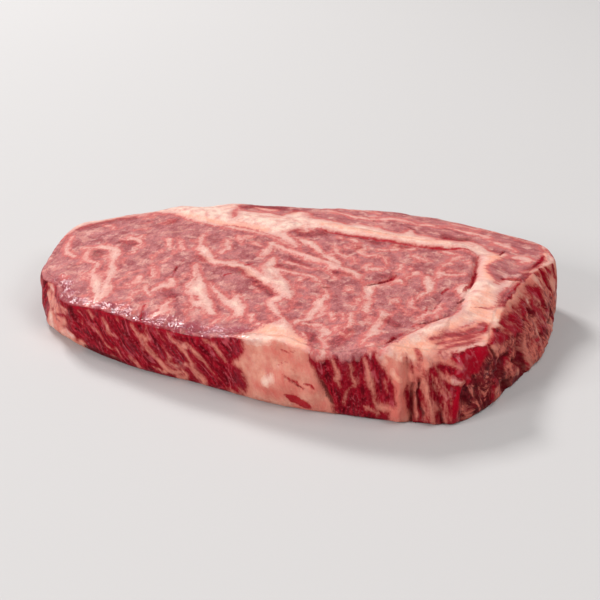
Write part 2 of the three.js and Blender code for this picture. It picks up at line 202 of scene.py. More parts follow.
# Veins of fat on the cut face: x, y, half width along each.
FACE_VEINS = [
    [(-37, -1, 1.2), (-34, -4, 2.4), (-30.5, -8, 1.6), (-27, -12.5, 1.9), (-20, -12, 1.7),
     (-13, -12.5, 1.6), (-8, -16, 1.7), (-3, -18, 2.6), (3, -19.5, 3.8), (8, -24, 3.4), (12, -29, 1.4),
     (15.5, -32.5, 0.5)],
    [(-6, 1, 0.8), (-6, -4, 1.3), (-4.5, -9, 2.2), (-1.5, -13, 3.2), (2, -18, 3.4)],
    [(-2, 19.5, 1.6), (3, 17, 1.8), (7, 13, 1.5), (11, 9, 1.4), (16, 7, 1.4), (19.5, 3, 1.1),
     (22, 0, 0.8)],
    [(-12, 12, 1.0), (-6, 9.5, 1.1), (0, 6.6, 1.3), (5, 5, 1.4), (10, 4, 1.5), (16, 3, 1.3),
     (20, 0.4, 1.4), (28, -1, 1.3), (30.5, -4.5, 0.8)],
    [(-12, 13, 1.2), (-11.5, 6, 1.1), (-11, 0.5, 0.9)],
    [(0, -2, 0.5), (6, -2.2, 0.6), (11, -3.8, 0.5), (15, -2.5, 0.6), (19, -4, 0.5), (22, -8, 0.3)],
    [(0, -10, 0.6), (6, -9.6, 0.5), (12, -9.5, 0.6), (17.5, -13, 0.3)],
    [(-84, -11, 0.5), (-79, -10, 1.2), (-74, -10.5, 1.3), (-70, -12, 1.9), (-67, -18, 1.6),
     (-65, -23, 1.4), (-62, -29, 1.3), (-59.5, -36, 1.3), (-57, -43, 1.9), (-56.5, -50, 1.5)],
    [(-81, -12, 0.9), (-80.5, -18, 1.0), (-76, -22, 1.0), (-71.5, -23, 1.1), (-69.5, -28, 1.2),
     (-66, -35, 1.5), (-62, -41, 1.9), (-58, -47, 1.9)],
    [(-71, -3, 0.6), (-67, -1.5, 1.3), (-63, -3.5, 0.7), (-61, -7, 0.4)],
    [(-96, -3, 0.4), (-93, -12, 0.6), (-88, -17, 0.7), (-83, -20, 0.6)],
    [(-100.5, -6, 0.6), (-100, 3, 1.8), (-97.5, 11, 2.4), (-91, 15, 1.6), (-84, 20.5, 0.8),
     (-77, 26, 1.2), (-70, 32, 2.4)],
    [(-52, 1, 1.1), (-50, -4, 0.7)], [(-47.5, -22, 0.6), (-44.5, -27, 0.9), (-43, -29, 0.4)],
    [(-49, -30, 0.8), (-47.5, -34, 1.3), (-50.5, -37, 0.8)],
    [(-43.5, -35, 0.6), (-40, -40, 0.9), (-38, -42, 0.6)],
    [(-36, -29, 0.9), (-33.5, -33.5, 2.2), (-37, -35.5, 1.7), (-40, -40, 0.9)],
    [(-32, -17, 0.6), (-30, -21, 0.9), (-28, -26, 0.8), (-27, -33, 0.9), (-25, -38, 0.9)],
    [(-29, -43, 0.8), (-29, -48, 1.6), (-27, -51, 1.5), (-30, -54, 1.1)],
    [(5, -47, 1.0), (6, -50, 1.0)], [(-41, 10, 0.5), (-39.5, 4, 0.6), (-37, -1, 1.2)],
    [(-30, 9, 0.7), (-28, 4, 0.8), (-25.5, 1, 1.2), (-27, -3, 0.7)], [(-23.5, 16, 0.5), (-25, 11, 0.4)],
    [(9.5, -31.5, 1.5), (6.8, -34, 1.4), (10, -38.5, 1.4), (13, -43, 1.0), (17, -45.8, 1.0)],
    [(20.5, -16.5, 0.8), (23, -20, 0.6), (24.5, -24, 1.0), (24, -29, 1.6), (25.3, -34, 1.8),
     (24.5, -39, 1.6), (24.8, -42.5, 1.3), (22, -45.5, 0.8), (22, -48.5, 0.4)],
    [(24.8, -46.5, 0.7), (29.5, -45.4, 0.6)],
    [(38.5, -6.5, 1.4), (37, -9.5, 1.8), (38, -14, 1.8), (38.5, -17.5, 1.6), (40, -21, 1.0),
     (41.5, -26, 1.2), (42.6, -30.5, 0.8)],
    [(30.5, -16, 0.9), (30, -13.5, 0.4)], [(36, -20.5, 0.5), (37, -25.5, 0.5)],
    [(38.4, -33.5, 0.7), (39, -38, 1.2), (41, -43.5, 0.4)], [(31.5, -36.5, 0.9), (33.5, -40, 0.8)],
    [(32, -47.5, 1.1), (35, -49, 1.4), (34, -53, 1.1), (37, -57, 0.6), (38, -62, 0.5)],
    [(43.5, -1, 1.2), (45.5, 0.2, 1.5), (47.5, -2, 0.5)],
    [(47, -28, 0.7), (49, -31, 1.4), (50, -36, 1.0), (49, -41, 1.0), (50.5, -45, 1.4), (49, -50, 0.9),
     (50, -55, 0.7)],
    [(43.5, -33, 0.6), (44.2, -35.5, 0.6), (46.5, -38.5, 0.5)],
    [(54, 7.5, 1.1), (55.2, 4, 1.6), (57, 0, 1.7), (58, -4, 1.2), (56, -10, 0.9), (55, -14, 0.7),
     (56, -18.5, 0.8)],
    [(49.5, 8.5, 0.8), (48, 5, 0.8), (47, 1.5, 0.8)], [(41.5, 12, 0.7), (42.5, 9, 1.1), (41, 7, 0.5)],
    [(57.5, 12.5, 1.0), (60, 12, 0.8), (64, 14, 0.7), (66.5, 15, 0.6)],
    [(65, -13.5, 0.8), (66, -17, 1.4), (64, -21, 1.2), (62, -24, 1.0), (61, -27.5, 0.5)],
    [(68.5, -27, 1.5), (66.5, -31, 1.3)], [(56, 30, 0.5), (53.6, 31.2, 1.0), (58, 31.6, 0.4)],
    [(59, 26, 0.5), (61, 29.5, 0.5)], [(58.5, 21.5, 0.6), (57.5, 19.5, 0.5)],
    [(30, 22, 0.6), (35, 25, 0.7), (42.5, 28.5, 0.9)], [(34, 30.5, 0.4), (34.4, 26, 0.6)],
    [(24.4, 21.5, 0.7), (23.6, 17, 0.9), (27, 15, 0.5), (32, 15.8, 0.7), (35.5, 15, 0.3)],
    [(13, 18.5, 0.8), (14, 15, 1.0), (16, 12.5, 0.7), (21, 11.5, 0.4)],
    [(15.5, 20.5, 0.6), (17, 19, 0.5)], [(16.6, 27.5, 0.9), (18.5, 25, 0.7), (20.5, 20.6, 0.5)],
    [(22, 12, 0.6), (24.5, 8, 0.4)], [(31.5, 4.5, 0.7), (36.5, 7.8, 0.7)],
    [(44.5, 22, 0.8), (47, 21, 0.6), (49.5, 20, 0.4)],
    [(0, 52, 0.5), (8, 50.2, 0.6), (16, 51, 0.3), (26, 53.2, 0.6), (36, 52.8, 0.5), (50, 53.4, 0.5),
     (60, 52, 0.5), (66.5, 50.5, 0.4)],
    [(-8, 55.5, 1.0), (8, 58.4, 0.8), (17, 58, 0.5)],
    [(50, 58.4, 0.5), (62, 57, 0.4), (72, 58, 0.7), (80, 54, 0.5), (85, 54.8, 1.0)],
    [(70.5, 47, 0.8), (75, 46, 0.6), (79.5, 44, 0.6)],
    [(80, 38, 1.0), (85.5, 38.6, 1.3), (83, 35.6, 0.5)], [(73.8, 35, 1.0), (76.2, 39.5, 0.7)],
    [(88, 53, 0.7), (91.5, 46, 1.2), (94, 42, 2.0), (92, 35.5, 1.5), (89.4, 30, 1.3), (87, 27, 0.5)],
    [(-34, 44.5, 0.8), (-29, 44, 1.0), (-24, 45.5, 0.6)],
]
# Lean that shows inside the fat of the cut face.
FACE_LEAN_STREAKS = [
    [(83.4, -20, 1.0), (83.6, -25, 2.2), (80.6, -29.6, 2.0), (76, -33.6, 1.5), (72.5, -37.6, 1.1),
     (69.4, -41, 0.6)],
    [(84.8, -27, 0.5), (81, -33.4, 1.2), (76, -38.4, 1.0), (72.4, -42.6, 0.5)],
    [(85, -32, 0.4), (81, -37.6, 1.0), (77, -42, 0.9), (74.6, -47, 0.4)],
    [(80, -21.4, 0.2), (77, -28, 0.5), (71.4, -35.6, 0.4)],
    [(79, -45, 0.4), (75.4, -49.4, 0.8), (72, -53, 0.6)],
    [(86.4, 14, 1.0), (86.2, 7, 1.6), (86, 0, 1.6), (84.8, -4, 0.8), (81, -8, 0.3)],
    [(-40.5, 41, 0.6), (-39, 35, 0.8), (-37.5, 30.5, 0.7)],
    [(-39, 22, 0.4), (-33, 22.8, 0.6), (-27, 22.2, 0.7), (-20, 21.5, 0.6), (-13, 19, 0.6),
     (-7, 15.5, 0.6), (-2, 11.5, 0.6), (4, 7.5, 0.5), (12, 6, 0.3)],
    [(-9.5, -8.5, 0.5), (-7.5, -11.5, 1.0), (-4.5, -15, 0.5)], [(-22, -38.5, 0.7), (-19.4, -41, 0.9)],
    [(-23.5, -27, 0.4), (-19.6, -31, 0.7), (-16.6, -35.6, 0.9), (-13, -38.6, 1.3), (-10, -41.6, 1.3),
     (-6.5, -43.6, 1.0)],
    [(-1.5, -5, 1.2), (1.5, -6.5, 1.6), (6, -6.5, 2.0)],
    [(14, 47, 1.0), (6, 46.5, 2.0), (-5, 45.5, 1.6), (-9, 44.5, 1.0)],
]
# Middle of the seam of fat between the eye and the cap muscle behind it.
CAP_SEAM = [
    (-60, 34), (-10, 34), (0, 38.4), (22, 37.5), (45, 37.5), (60, 39), (67, 33), (68.4, 26), (69.4, 20),
    (70.4, 14), (70.9, 3), (71.5, -20), (72, -26), (73, -70),
]
# Brighter, fresher red on the cut face: x, y, half width.
FACE_RED = [
    [(-69.5, -6, 1.8), (-65.5, -5.5, 1.6)], [(-77.5, -14, 1.2), (-75, -17, 2.2)],
    [(-34, -9.5, 1.6), (-30.5, -11.5, 1.6)], [(-34.5, -38, 1.6), (-31, -40, 1.6), (-27.5, -43, 1.2)],
    [(-19, -16, 1.4), (-13, -15.6, 1.8), (-7, -19, 1.4)],
    [(-4, -22, 1.6), (2, -25.5, 1.4), (7, -28.6, 1.0)], [(-1, -6, 1.4), (4, -6, 1.2)],
    [(21.5, 20.5, 1.3), (23, 19, 1.0)], [(24, 30.5, 2.2), (27, 28, 1.4)],
    [(35, 28, 1.6), (39, 31, 1.8)], [(3, 32.4, 0.5), (28, 31.8, 0.7), (50, 33, 0.6)],
    [(-7, 27, 1.6), (-2, 26, 2.4), (3, 29.5, 1.8)], [(49, 44.6, 0.8), (56, 45, 1.2), (60, 47, 0.8)],
    [(-38, 43, 1.0), (-32, 46, 1.6), (-22, 47.6, 1.4)], [(-16, 44, 1.0), (-16.5, 48, 1.2)],
    [(-96, 5, 1.6), (-92, 9, 1.6), (-84, 17.4, 1.4), (-79, 18.5, 1.3)],
    [(-61, 17, 1.0), (-59.5, 20, 1.2)], [(52, -33, 2.2), (56, -36, 1.6)],
    [(38, 0.5, 0.8), (42, 1, 0.8)], [(86, 16, 1.0), (87.4, 24, 1.0), (89.5, 36, 1.0)],
    [(88, -25, 1.0), (89.5, -31, 1.6)], [(8, -1, 0.8), (0, 1.5, 0.9)], [(20, -3.2, 0.6), (27, -3, 0.8)],
    [(41.5, -47, 2.0), (41, -55, 1.8)], [(30, -52, 1.2), (33, -57, 1.0)],
    [(84, -22, 2.4), (80, -30, 2.6), (74, -38, 2.2), (70, -42, 1.2)],
    [(84, -31, 1.4), (78, -41, 2.0), (73, -50, 2.0)], [(86.2, 7, 1.8), (85.6, -2, 1.4)],
]
# Thin lines of clear blood red on the cut face.
FACE_BLOOD = [
    [(-1, 32.6, 0.2), (12, 32.4, 0.35), (28, 32.0, 0.5), (42, 32.4, 0.3), (50, 33.4, 0.5),
     (60, 36.6, 0.5), (66, 34, 0.3)],
    [(48.6, 44.4, 0.2), (53, 44.6, 0.5), (58, 45.6, 0.7), (61.5, 47, 0.4)],
    [(74.6, 43, 0.2), (74.6, 39, 0.5), (73, 36, 0.3)],
    [(67, 32.6, 0.3), (68.4, 26, 0.5), (69.4, 20, 0.8), (70.4, 14, 1.0), (70.5, 8, 0.8), (69.6, 2, 0.5),
     (69, -3, 0.1)],
    [(76, -12, 0.15), (79.6, -9.4, 0.4), (83.4, -7.4, 0.3)],
    [(85, 7, 0.1), (86, 11, 0.4), (86.7, 15, 0.6), (87.2, 20, 0.1)],
    [(88, 28, 0.1), (88.6, 32, 0.4), (89.2, 37.6, 0.5), (89, 41, 0.1)],
    [(75.6, -52, 0.5), (78, -47.4, 0.6), (80, -43, 0.3)],
    [(83.4, -27.6, 0.2), (84.6, -25, 0.6), (84.8, -21, 0.4)],
    [(60.6, -36, 0.2), (59.6, -43, 0.6), (57.8, -49, 0.5), (57, -51.6, 0.1)],
    [(63.4, -30.4, 0.2), (60.8, -35, 0.4)], [(42.8, 4, 0.3), (42, 0.4, 0.6), (38.6, -4.4, 0.4)],
    [(63.8, 1.6, 0.5), (62.8, -3.4, 0.6)], [(61, -16.6, 0.5), (62.2, -20.6, 0.6)],
    [(-38.8, -12, 0.2), (-38.2, -20, 0.5), (-37, -26, 0.3)],
    [(-36.2, -48.6, 0.5), (-35.4, -54, 0.8), (-33.6, -58, 0.4)],
    [(-17.6, -21.6, 0.5), (-15, -19.4, 0.5)], [(-13.4, -10.4, 0.8), (-11.6, -8.8, 0.5)],
    [(13.6, 13.4, 0.4), (14.6, 11.8, 0.3)],
]
# Fresh crimson where torn muscle reaches the edge of the cut face.
FACE_CRIMSON = [
    [(87.6, -22, 0.5), (88.6, -27, 1.2), (89.6, -32, 1.5), (88.6, -34.4, 0.6)],
    [(86.4, 12, 0.3), (86.9, 17, 0.4)], [(86, -2, 0.3), (86.4, 3, 0.6), (86.4, 8, 0.2)],
    [(67.4, -50.6, 0.8), (69.6, -52.8, 1.1)], [(80.6, 16.6, 0.2), (83, 18.2, 0.4), (86.4, 20, 0.5)],
    [(89.6, 35, 0.2), (90, 40, 0.4), (90.6, 44, 0.1)],
]
# Rosy orange blush that blood gives the fat: x, y, half width.
FACE_BLUSH = [
    [(84, -14, 1.6), (83, -22, 2.0), (78, -34, 2.6), (71, -44, 2.6), (63, -54, 3.0)],
    [(76, -20, 0.5), (74, -30, 1.0), (68, -42, 1.2)], [(14, -55, 2.4), (22, -57, 3.0), (29, -60, 2.0)],
    [(62, -46, 0.6), (64, -56, 1.6)], [(73, 36, 1.6), (74, 24, 1.4), (76, 14, 1.0)],
    [(80, 2, 1.4), (82, -8, 1.6)], [(0, 38.4, 0.6), (30, 37, 0.5), (52, 38.6, 0.8)],
    [(-60, 27, 0.8), (-40, 24, 1.0), (-20, 24, 0.8)],
    [(86, -4, 1.6), (86.6, -14, 1.8), (88, -24, 1.8), (87, -34, 1.4)],
    [(86, 33, 1.0), (90, 40, 1.2), (90, 50, 1.0)], [(76, -4, 1.6), (80, -16, 2.6), (78, 6, 1.2)],
]
# Wet runs on the fat of the cut face.
FACE_SHINE = [
    [(10, 39.6, 0.4), (22, 38.2, 0.8), (33, 37.4, 0.5)], [(60, -50, 0.4), (58.6, -56, 0.8)],
    [(72, -16, 0.3), (74, -6, 0.4)],
]
# Thin cracks and creases of the cut face, dented and painted dark as painted shade: x, y, half width.
FACE_CREASE_SHADE = [
    [(-38, -18, 0.1), (-37.6, -23, 0.25)], [(-35.8, -52, 0.2), (-34, -57, 0.35)],
    [(-48, -51.5, 0.1), (-46, -56, 0.3)], [(69.4, 21, 0.1), (70.3, 14, 0.1), (70.5, 8.5, 0.1)],
    [(71.5, -6, 0.4), (70.2, -9.5, 0.2)], [(70.5, -20, 0.2), (66, -26, 0.3), (63, -31, 0.2)],
    [(59.6, -44, 0.2), (58.2, -48.6, 0.3), (57.2, -51, 0.1)],
    [(42, 0.5, 0.1), (39, -4, 0.3), (35.5, -8, 0.2)], [(63.5, -8, 0.3), (64, -16, 0.2)],
    [(26, -10.5, 0.3), (23.4, -15, 0.3), (20.6, -16.6, 0.2)], [(18.4, 50.5, 0.4), (18, 50, 0.2)],
    [(33.5, 48, 0.2), (36.4, 46.8, 0.3)], [(55.6, 44.8, 0.1), (59.6, 46.4, 0.3)],
    [(75.2, 42, 0.3), (74.2, 38, 0.3)], [(87, 19.5, 0.3), (84.6, 18.4, 0.2), (82.5, 17.6, 0.1)],
    [(89.6, 38, 0.3), (88.8, 33, 0.3)],
]

# Fat on the side: distance along the upper edge from the left end, share of the way down.
SIDE_FAT_AREAS = [
    [(46, 1.2), (46.6, 0.78), (48.6, 0.42), (50, 0.46), (52, 0.56), (55, 0.62), (58, 0.56), (60, 0.45),
     (63, 0.4), (63.6, 0.5), (61, 0.62), (59, 0.72), (62.5, 0.7), (65, 0.64), (66.4, 0.68),
     (66.4, 0.84), (69, 0.74), (72, 0.78), (73, 0.86), (70.6, 0.95), (67, 1.2)],
    [(141, -0.2), (142.5, 0.1), (143.5, 0.2), (140.6, 0.3), (139.4, 0.38), (141.5, 0.47), (143, 0.58),
     (144, 0.72), (143.4, 0.85), (141.6, 1.2), (180, 1.2), (178.2, 0.9), (176.5, 0.7), (174, 0.55),
     (172, 0.38), (170.4, 0.25), (168, 0.12), (166.2, -0.2)],
    # torn fat of the broad end
    [(232.6, -0.2), (232.6, 0.08), (233.6, 0.16), (236, 0.26), (240, 0.32), (244, 0.36), (248, 0.4),
     (252, 0.43), (257, 0.46), (261.6, 0.47), (262, 0.4), (260, 0.39), (256, 0.33), (252, 0.29),
     (246, 0.26), (243, 0.2), (239, 0.1), (235, 0), (234, -0.2)],
    [(250.5, 0.53), (253, 0.5), (256, 0.49), (260, 0.5), (262, 0.52), (261, 0.6), (258.5, 0.69),
     (256, 0.66), (253.5, 0.6), (252.6, 0.66), (255, 0.76), (258, 0.83), (257, 0.9), (252, 0.89),
     (249, 0.83), (246, 0.74), (243.5, 0.68), (246.5, 0.62), (249, 0.59)],
    [(234, 0.73), (238, 0.7), (241, 0.76), (244, 0.85), (243, 0.9), (240.6, 1.0), (241, 1.2),
     (236, 1.2), (234.6, 0.9)],
    [(263.6, 0.42), (266, 0.37), (270, 0.32), (274, 0.33), (278, 0.36), (279, 0.42), (282, 0.45),
     (283, 0.48), (281.5, 0.53), (280.5, 0.6), (280.4, 0.68), (279, 0.72), (279.6, 0.8), (281.6, 0.84),
     (287, 0.88), (289, 0.8), (286.6, 1.2), (263, 1.2), (262.6, 0.9), (262, 0.78), (262.2, 0.65),
     (262.6, 0.55)],
    [(293, 0.1), (294, 0.2), (292.6, 0.35), (292, 0.5), (290, 0.56), (288.4, 0.7), (289.4, 0.78),
     (292, 1.2), (297, 1.2), (298, 0.8), (299.4, 0.64), (300.6, 0.5), (301, 0.35), (300.6, 0.2),
     (300, 0.06), (296, -0.1)],
    [(302.8, -0.1), (303, 0.3), (303.4, 0.45), (301.5, 0.55), (301, 0.7), (303, 1.2), (310, 1.2),
     (309.5, 0.3), (308.4, 0.1), (307, -0.1)],
    [(248.4, 0.0), (249, 0.06), (250, 0.13), (252, 0.15), (253, 0.1), (252.2, 0.03), (250.6, -0.1)],
    # brush of fat that runs down from the band
    [(189, -0.2), (190.8, 0.05), (192, 0.15), (193.4, 0.25), (195.2, 0.38), (196.8, 0.52), (197, 0.64),
     (196.4, 0.75), (195.2, 0.86), (193.6, 1.2), (203.4, 1.2), (202.4, 0.9), (201, 0.76), (200.6, 0.6),
     (200.9, 0.48), (201.6, 0.56), (202.1, 0.68), (202.3, 0.55), (202.8, 0.44), (203.6, 0.34),
     (204.6, 0.28), (207, 0.26), (208, 0.16), (210, 0.12), (213, 0.07), (216, 0.03), (218, -0.2)],
]
# Veins of fat on the side: distance, share of the way down, half width in mm, as in all that follow.
# Where a half width is below 0, only the soft rim of the line shows.
SIDE_VEINS = [
    [(43.5, 0.06, 1.3), (46.5, 0.12, 1.2), (49, 0.1, 0.6)],
    [(61, 0.14, 0.5), (62.4, 0.22, 0.7), (64, 0.31, 0.5)],
    [(71, 0.1, 0.4), (73, 0.25, 0.4), (71.5, 0.38, 0.3)], [(76, 0.06, 0.4), (78, 0.16, 0.3)],
    [(76, 0.33, 0.5), (79, 0.42, 0.6), (81, 0.5, 0.7), (83, 0.55, 0.5)],
    [(83, 0.16, 0.7), (86, 0.25, 0.8), (86, 0.35, 0.6), (89, 0.42, 0.4)],
    [(89, 0, 0.5), (90, 0.12, 0.3)], [(84.5, 0.6, 0.4), (85.5, 0.68, 0.6), (87, 0.73, 0.4)],
    [(89, 0.68, 0.6), (91, 0.76, 0.6), (92, 0.8, 0.3)], [(86, 0.9, 0.4), (90, 0.94, 0.4)],
    [(95.5, 0.7, 0.3), (96.5, 0.8, 0.4), (99, 0.88, 0.7)],
    [(96.5, 0.1, 0.5), (98.5, 0.2, 0.7), (99.5, 0.27, 0.8), (104, 0.27, 0.9), (102.4, 0.34, 0.8),
     (103.5, 0.42, 1.0), (105, 0.52, 0.9), (106.5, 0.6, 1.1), (108.2, 0.67, 1.2), (110, 0.74, 1.4),
     (112, 0.8, 1.4), (109, 0.87, 1.2), (105.5, 0.8, 0.4)],
    [(103, 0.08, 0.4), (104, 0.2, 0.7), (105, 0.27, 0.7)],
    [(108, 0.04, 0.4), (109.5, 0.17, 0.4), (111.5, 0.25, 0.3)],
    [(110, 0.38, 0.4), (112, 0.45, 0.5), (113, 0.55, 0.9), (111.5, 0.63, 0.4)],
    [(113, 0.04, 0.4), (115, 0.17, 0.9), (117, 0.22, 1.0), (118, 0.32, 1.0), (119.5, 0.4, 1.0),
     (122, 0.48, 0.9), (123.6, 0.53, 0.4)],
    [(121, 0.18, 0.7), (124, 0.28, 1.2), (126.5, 0.4, 0.9), (128, 0.5, 0.8), (129, 0.6, 0.7),
     (131, 0.66, 0.5), (134, 0.74, 0.3)],
    [(122, 0.56, 1.1), (123, 0.68, 1.2), (124, 0.78, 1.4), (126, 0.88, 1.6), (125, 0.96, 1.2)],
    [(112, 0.8, 1.5), (115, 0.84, 1.4), (118, 0.78, 1.2), (119, 0.88, 1.4), (115, 0.95, 1.2)],
    [(127, 0.04, 0.4), (129, 0.12, 0.6), (132, 0.18, 0.9), (134, 0.28, 0.7), (136, 0.4, 0.3)],
    [(136, 0.87, 0.7), (139, 0.92, 1.0), (142, 0.95, 1.0)], [(141, 0.78, 0.4), (142.5, 0.88, 0.5)],
    [(171, -0.05, 1.0), (170.5, 0.12, 0.4)],
    [(175, -0.05, 0.9), (177, 0.15, 0.8), (178.5, 0.28, 1.1), (178, 0.38, 1.0), (179, 0.48, 0.3)],
    [(181, -0.05, 0.5), (182.5, 0.2, 0.5), (183, 0.35, 0.8), (184.5, 0.45, 1.1), (182.5, 0.53, 0.5),
     (181, 0.62, 0.6), (180.5, 0.78, 0.5)],
    [(186, 0.02, 0.4), (187.5, 0.2, 0.6), (188.5, 0.35, 1.2), (189, 0.45, 1.2), (190, 0.58, 0.9),
     (190.5, 0.7, 0.7), (192, 0.8, 1.4), (195, 0.78, 1.2), (196.6, 0.8, 0.8)],
    [(188, 0.8, 0.6), (191.5, 0.88, 0.8)], [(194, 0.42, 0.3), (194.5, 0.58, 0.4)],
    [(176.5, 0.92, 0.5), (178.5, 0.8, 0.4)],
    [(205.8, 0.3, 1.3), (206.2, 0.45, 1.5), (206.9, 0.58, 1.2), (207.6, 0.75, 1.0), (208.2, 0.95, 0.8)],
    [(203.9, 0.38, 0.5), (203.4, 0.52, 0.7), (203.3, 0.7, 0.8), (202.7, 0.88, 0.9)],
    [(207.2, 0.6, 0.6), (208.6, 0.7, 0.6), (209.8, 0.78, 0.4)],
    [(208.4, 0.3, 0.3), (209.4, 0.46, 0.6), (210.2, 0.6, 0.3)],
    [(205.4, 0.6, 0.3), (205.8, 0.8, 0.6), (205.4, 0.92, 0.5)],
    [(210.4, 0.2, 0.5), (212.4, 0.32, 0.6), (214, 0.3, 0.5)],
    [(209.8, 0.34, 0.3), (211.2, 0.5, 0.55), (212.4, 0.7, 0.5), (212.6, 0.9, 0.3)],
    [(211, 0.34, 0.25), (212.8, 0.5, 0.4), (213.9, 0.66, 0.45), (214, 0.8, 0.2)],
    [(210.4, 0.7, 0.2), (211.2, 0.85, 0.4), (211, 0.98, 0.3)],
    [(213.4, 0.33, 0.5), (216.4, 0.35, 1.3), (219, 0.4, 0.9)], [(214, 0.12, 0.8), (219, 0.16, 0.7)],
    [(258, 0.0, 1.4), (263, 0.08, 1.5), (268, 0.13, 1.4), (271, 0.24, 0.8), (270, 0.3, 0.8)],
    [(254, 0.1, 0.5), (259, 0.16, 0.6), (264, 0.2, 0.5)],
    [(264, 0.02, 2.6), (274, 0.04, 3.0), (284, 0.06, 2.8)],
    [(284, 0.02, 2.0), (290, 0.04, 2.4), (298, 0.05, 2.4)], [(290, 0.12, 0.7), (294, 0.14, 1.0)],
    [(280.4, 0.12, 0.6), (281.4, 0.2, 1.1), (281.2, 0.28, 1.1)],
    [(282.4, 0.19, 0.8), (285.6, 0.22, 0.9), (288, 0.3, 0.7), (289.4, 0.42, 0.6), (289, 0.5, 0.4)],
    [(284, 0.3, 0.2), (286.4, 0.38, 0.3), (288, 0.46, 0.2)], [(283, 0.42, 0.3), (285, 0.5, 0.4)],
    [(282.6, 0.58, 0.4), (285, 0.64, 0.7), (287, 0.68, 0.4)], [(290.4, 0.52, 0.6), (289.4, 0.6, 0.8)],
    [(275, 0.18, 0.5), (276.4, 0.2, 0.5)], [(304, 0.02, 0.8), (306.4, 0.1, 0.7), (305, 0.2, 0.9)],
    [(236.6, 0.34, 0.12), (239, 0.44, 0.25), (243, 0.52, 0.12)],
    [(234.6, 0.38, 0.15), (237, 0.48, 0.2), (241, 0.57, 0.1)],
    [(231.6, 0.06, 0.4), (232.6, 0.2, 0.5), (233, 0.3, 0.3)],
]
# Lean that shows inside the fat of the side.
SIDE_LEAN_STREAKS = [
    [(271, 0.64, 0.9), (273.4, 0.67, 0.9)], [(292, 0.57, 1.0), (295, 0.6, 1.7), (297.6, 0.65, 0.8)],
    [(201.4, 0.03, 0.2), (202.4, 0.12, 0.5), (203, 0.23, 0.2)],
    [(203.4, 0.0, 0.5), (204.4, 0.07, 1.0), (204.9, 0.16, 0.5)],
    [(206.2, 0.04, 0.2), (206.8, 0.13, 0.5), (206.2, 0.23, 0.2)],
    [(207.8, 0.0, 0.3), (209, 0.1, 0.7), (210, 0.18, 0.4)],
    [(211, 0.0, 0.3), (212.6, 0.06, 0.5), (214, 0.11, 0.3)],
    [(304.4, 0.06, 0.3), (306, 0.12, 0.7), (307.4, 0.15, 0.7)],
    [(274, 0.37, 0.15), (277, 0.4, 0.3), (279, 0.42, 0.2)], [(297, 0.05, 0.3), (299, 0.1, 0.5)],
    [(302, 0.1, 0.6), (302.2, 0.25, 0.7), (302, 0.38, 0.5)],
]
# Clear crimson, as on muscle that was cut along its fibres.
SIDE_CRIMSON = [
    [(220, 0.12, 2.4), (226, 0.1, 3.2), (230, 0.08, 1.6)], [(219.6, 0.25, 2.6), (225, 0.22, 3.0)],
    [(220.6, 0.3, 2.2), (222, 0.38, 1.2)], [(217, 0.44, 1.4), (222, 0.44, 1.6)],
    [(217.2, 0.48, 0.9), (216, 0.58, 0.9), (215, 0.72, 0.9), (213.8, 0.92, 0.8)],
    [(236, -0.05, 2.0), (240, 0.05, 2.4), (244, 0.14, 2.6), (248, 0.2, 2.0), (251, 0.23, 1.0)],
    [(254, 0.1, 1.6), (257, 0.18, 2.6), (260, 0.26, 2.8), (263, 0.32, 2.0), (265.5, 0.34, 0.8)],
    [(253, -0.02, 0.5), (258, 0.05, 0.7), (264, 0.13, 1.0), (268, 0.2, 1.6), (270, 0.24, 1.2)],
    [(264, 0.2, 1.6), (268, 0.26, 1.6)], [(270, 0.14, 1.0), (274, 0.16, 1.6), (279, 0.18, 1.4)],
    [(272, 0.22, 1.2), (276, 0.25, 1.8), (279, 0.24, 1.0)],
    [(283, 0.14, 1.2), (287, 0.18, 1.6), (291, 0.2, 2.0), (291.4, 0.32, 2.0), (290.8, 0.46, 1.2)],
    [(281, 0.36, 1.2), (284, 0.4, 1.6), (287, 0.47, 1.4)], [(283, 0.24, 1.0), (286, 0.3, 0.8)],
    [(286, 0.62, 0.8), (289, 0.66, 1.0)], [(292, 0.57, 1.2), (295, 0.6, 2.0), (297.6, 0.66, 1.0)],
    [(271, 0.64, 1.0), (273.4, 0.67, 1.0)],
    [(301.6, 0.08, 1.0), (301.8, 0.25, 1.0), (301.6, 0.38, 0.7)], [(297, 0.02, 0.8), (299, 0.08, 1.0)],
    [(245, 0.59, 0.8), (250, 0.54, 1.2)], [(233.6, 0.66, 0.6), (234, 0.9, 1.0)],
    [(306, 0.1, 1.0), (307.6, 0.15, 1.0)],
]
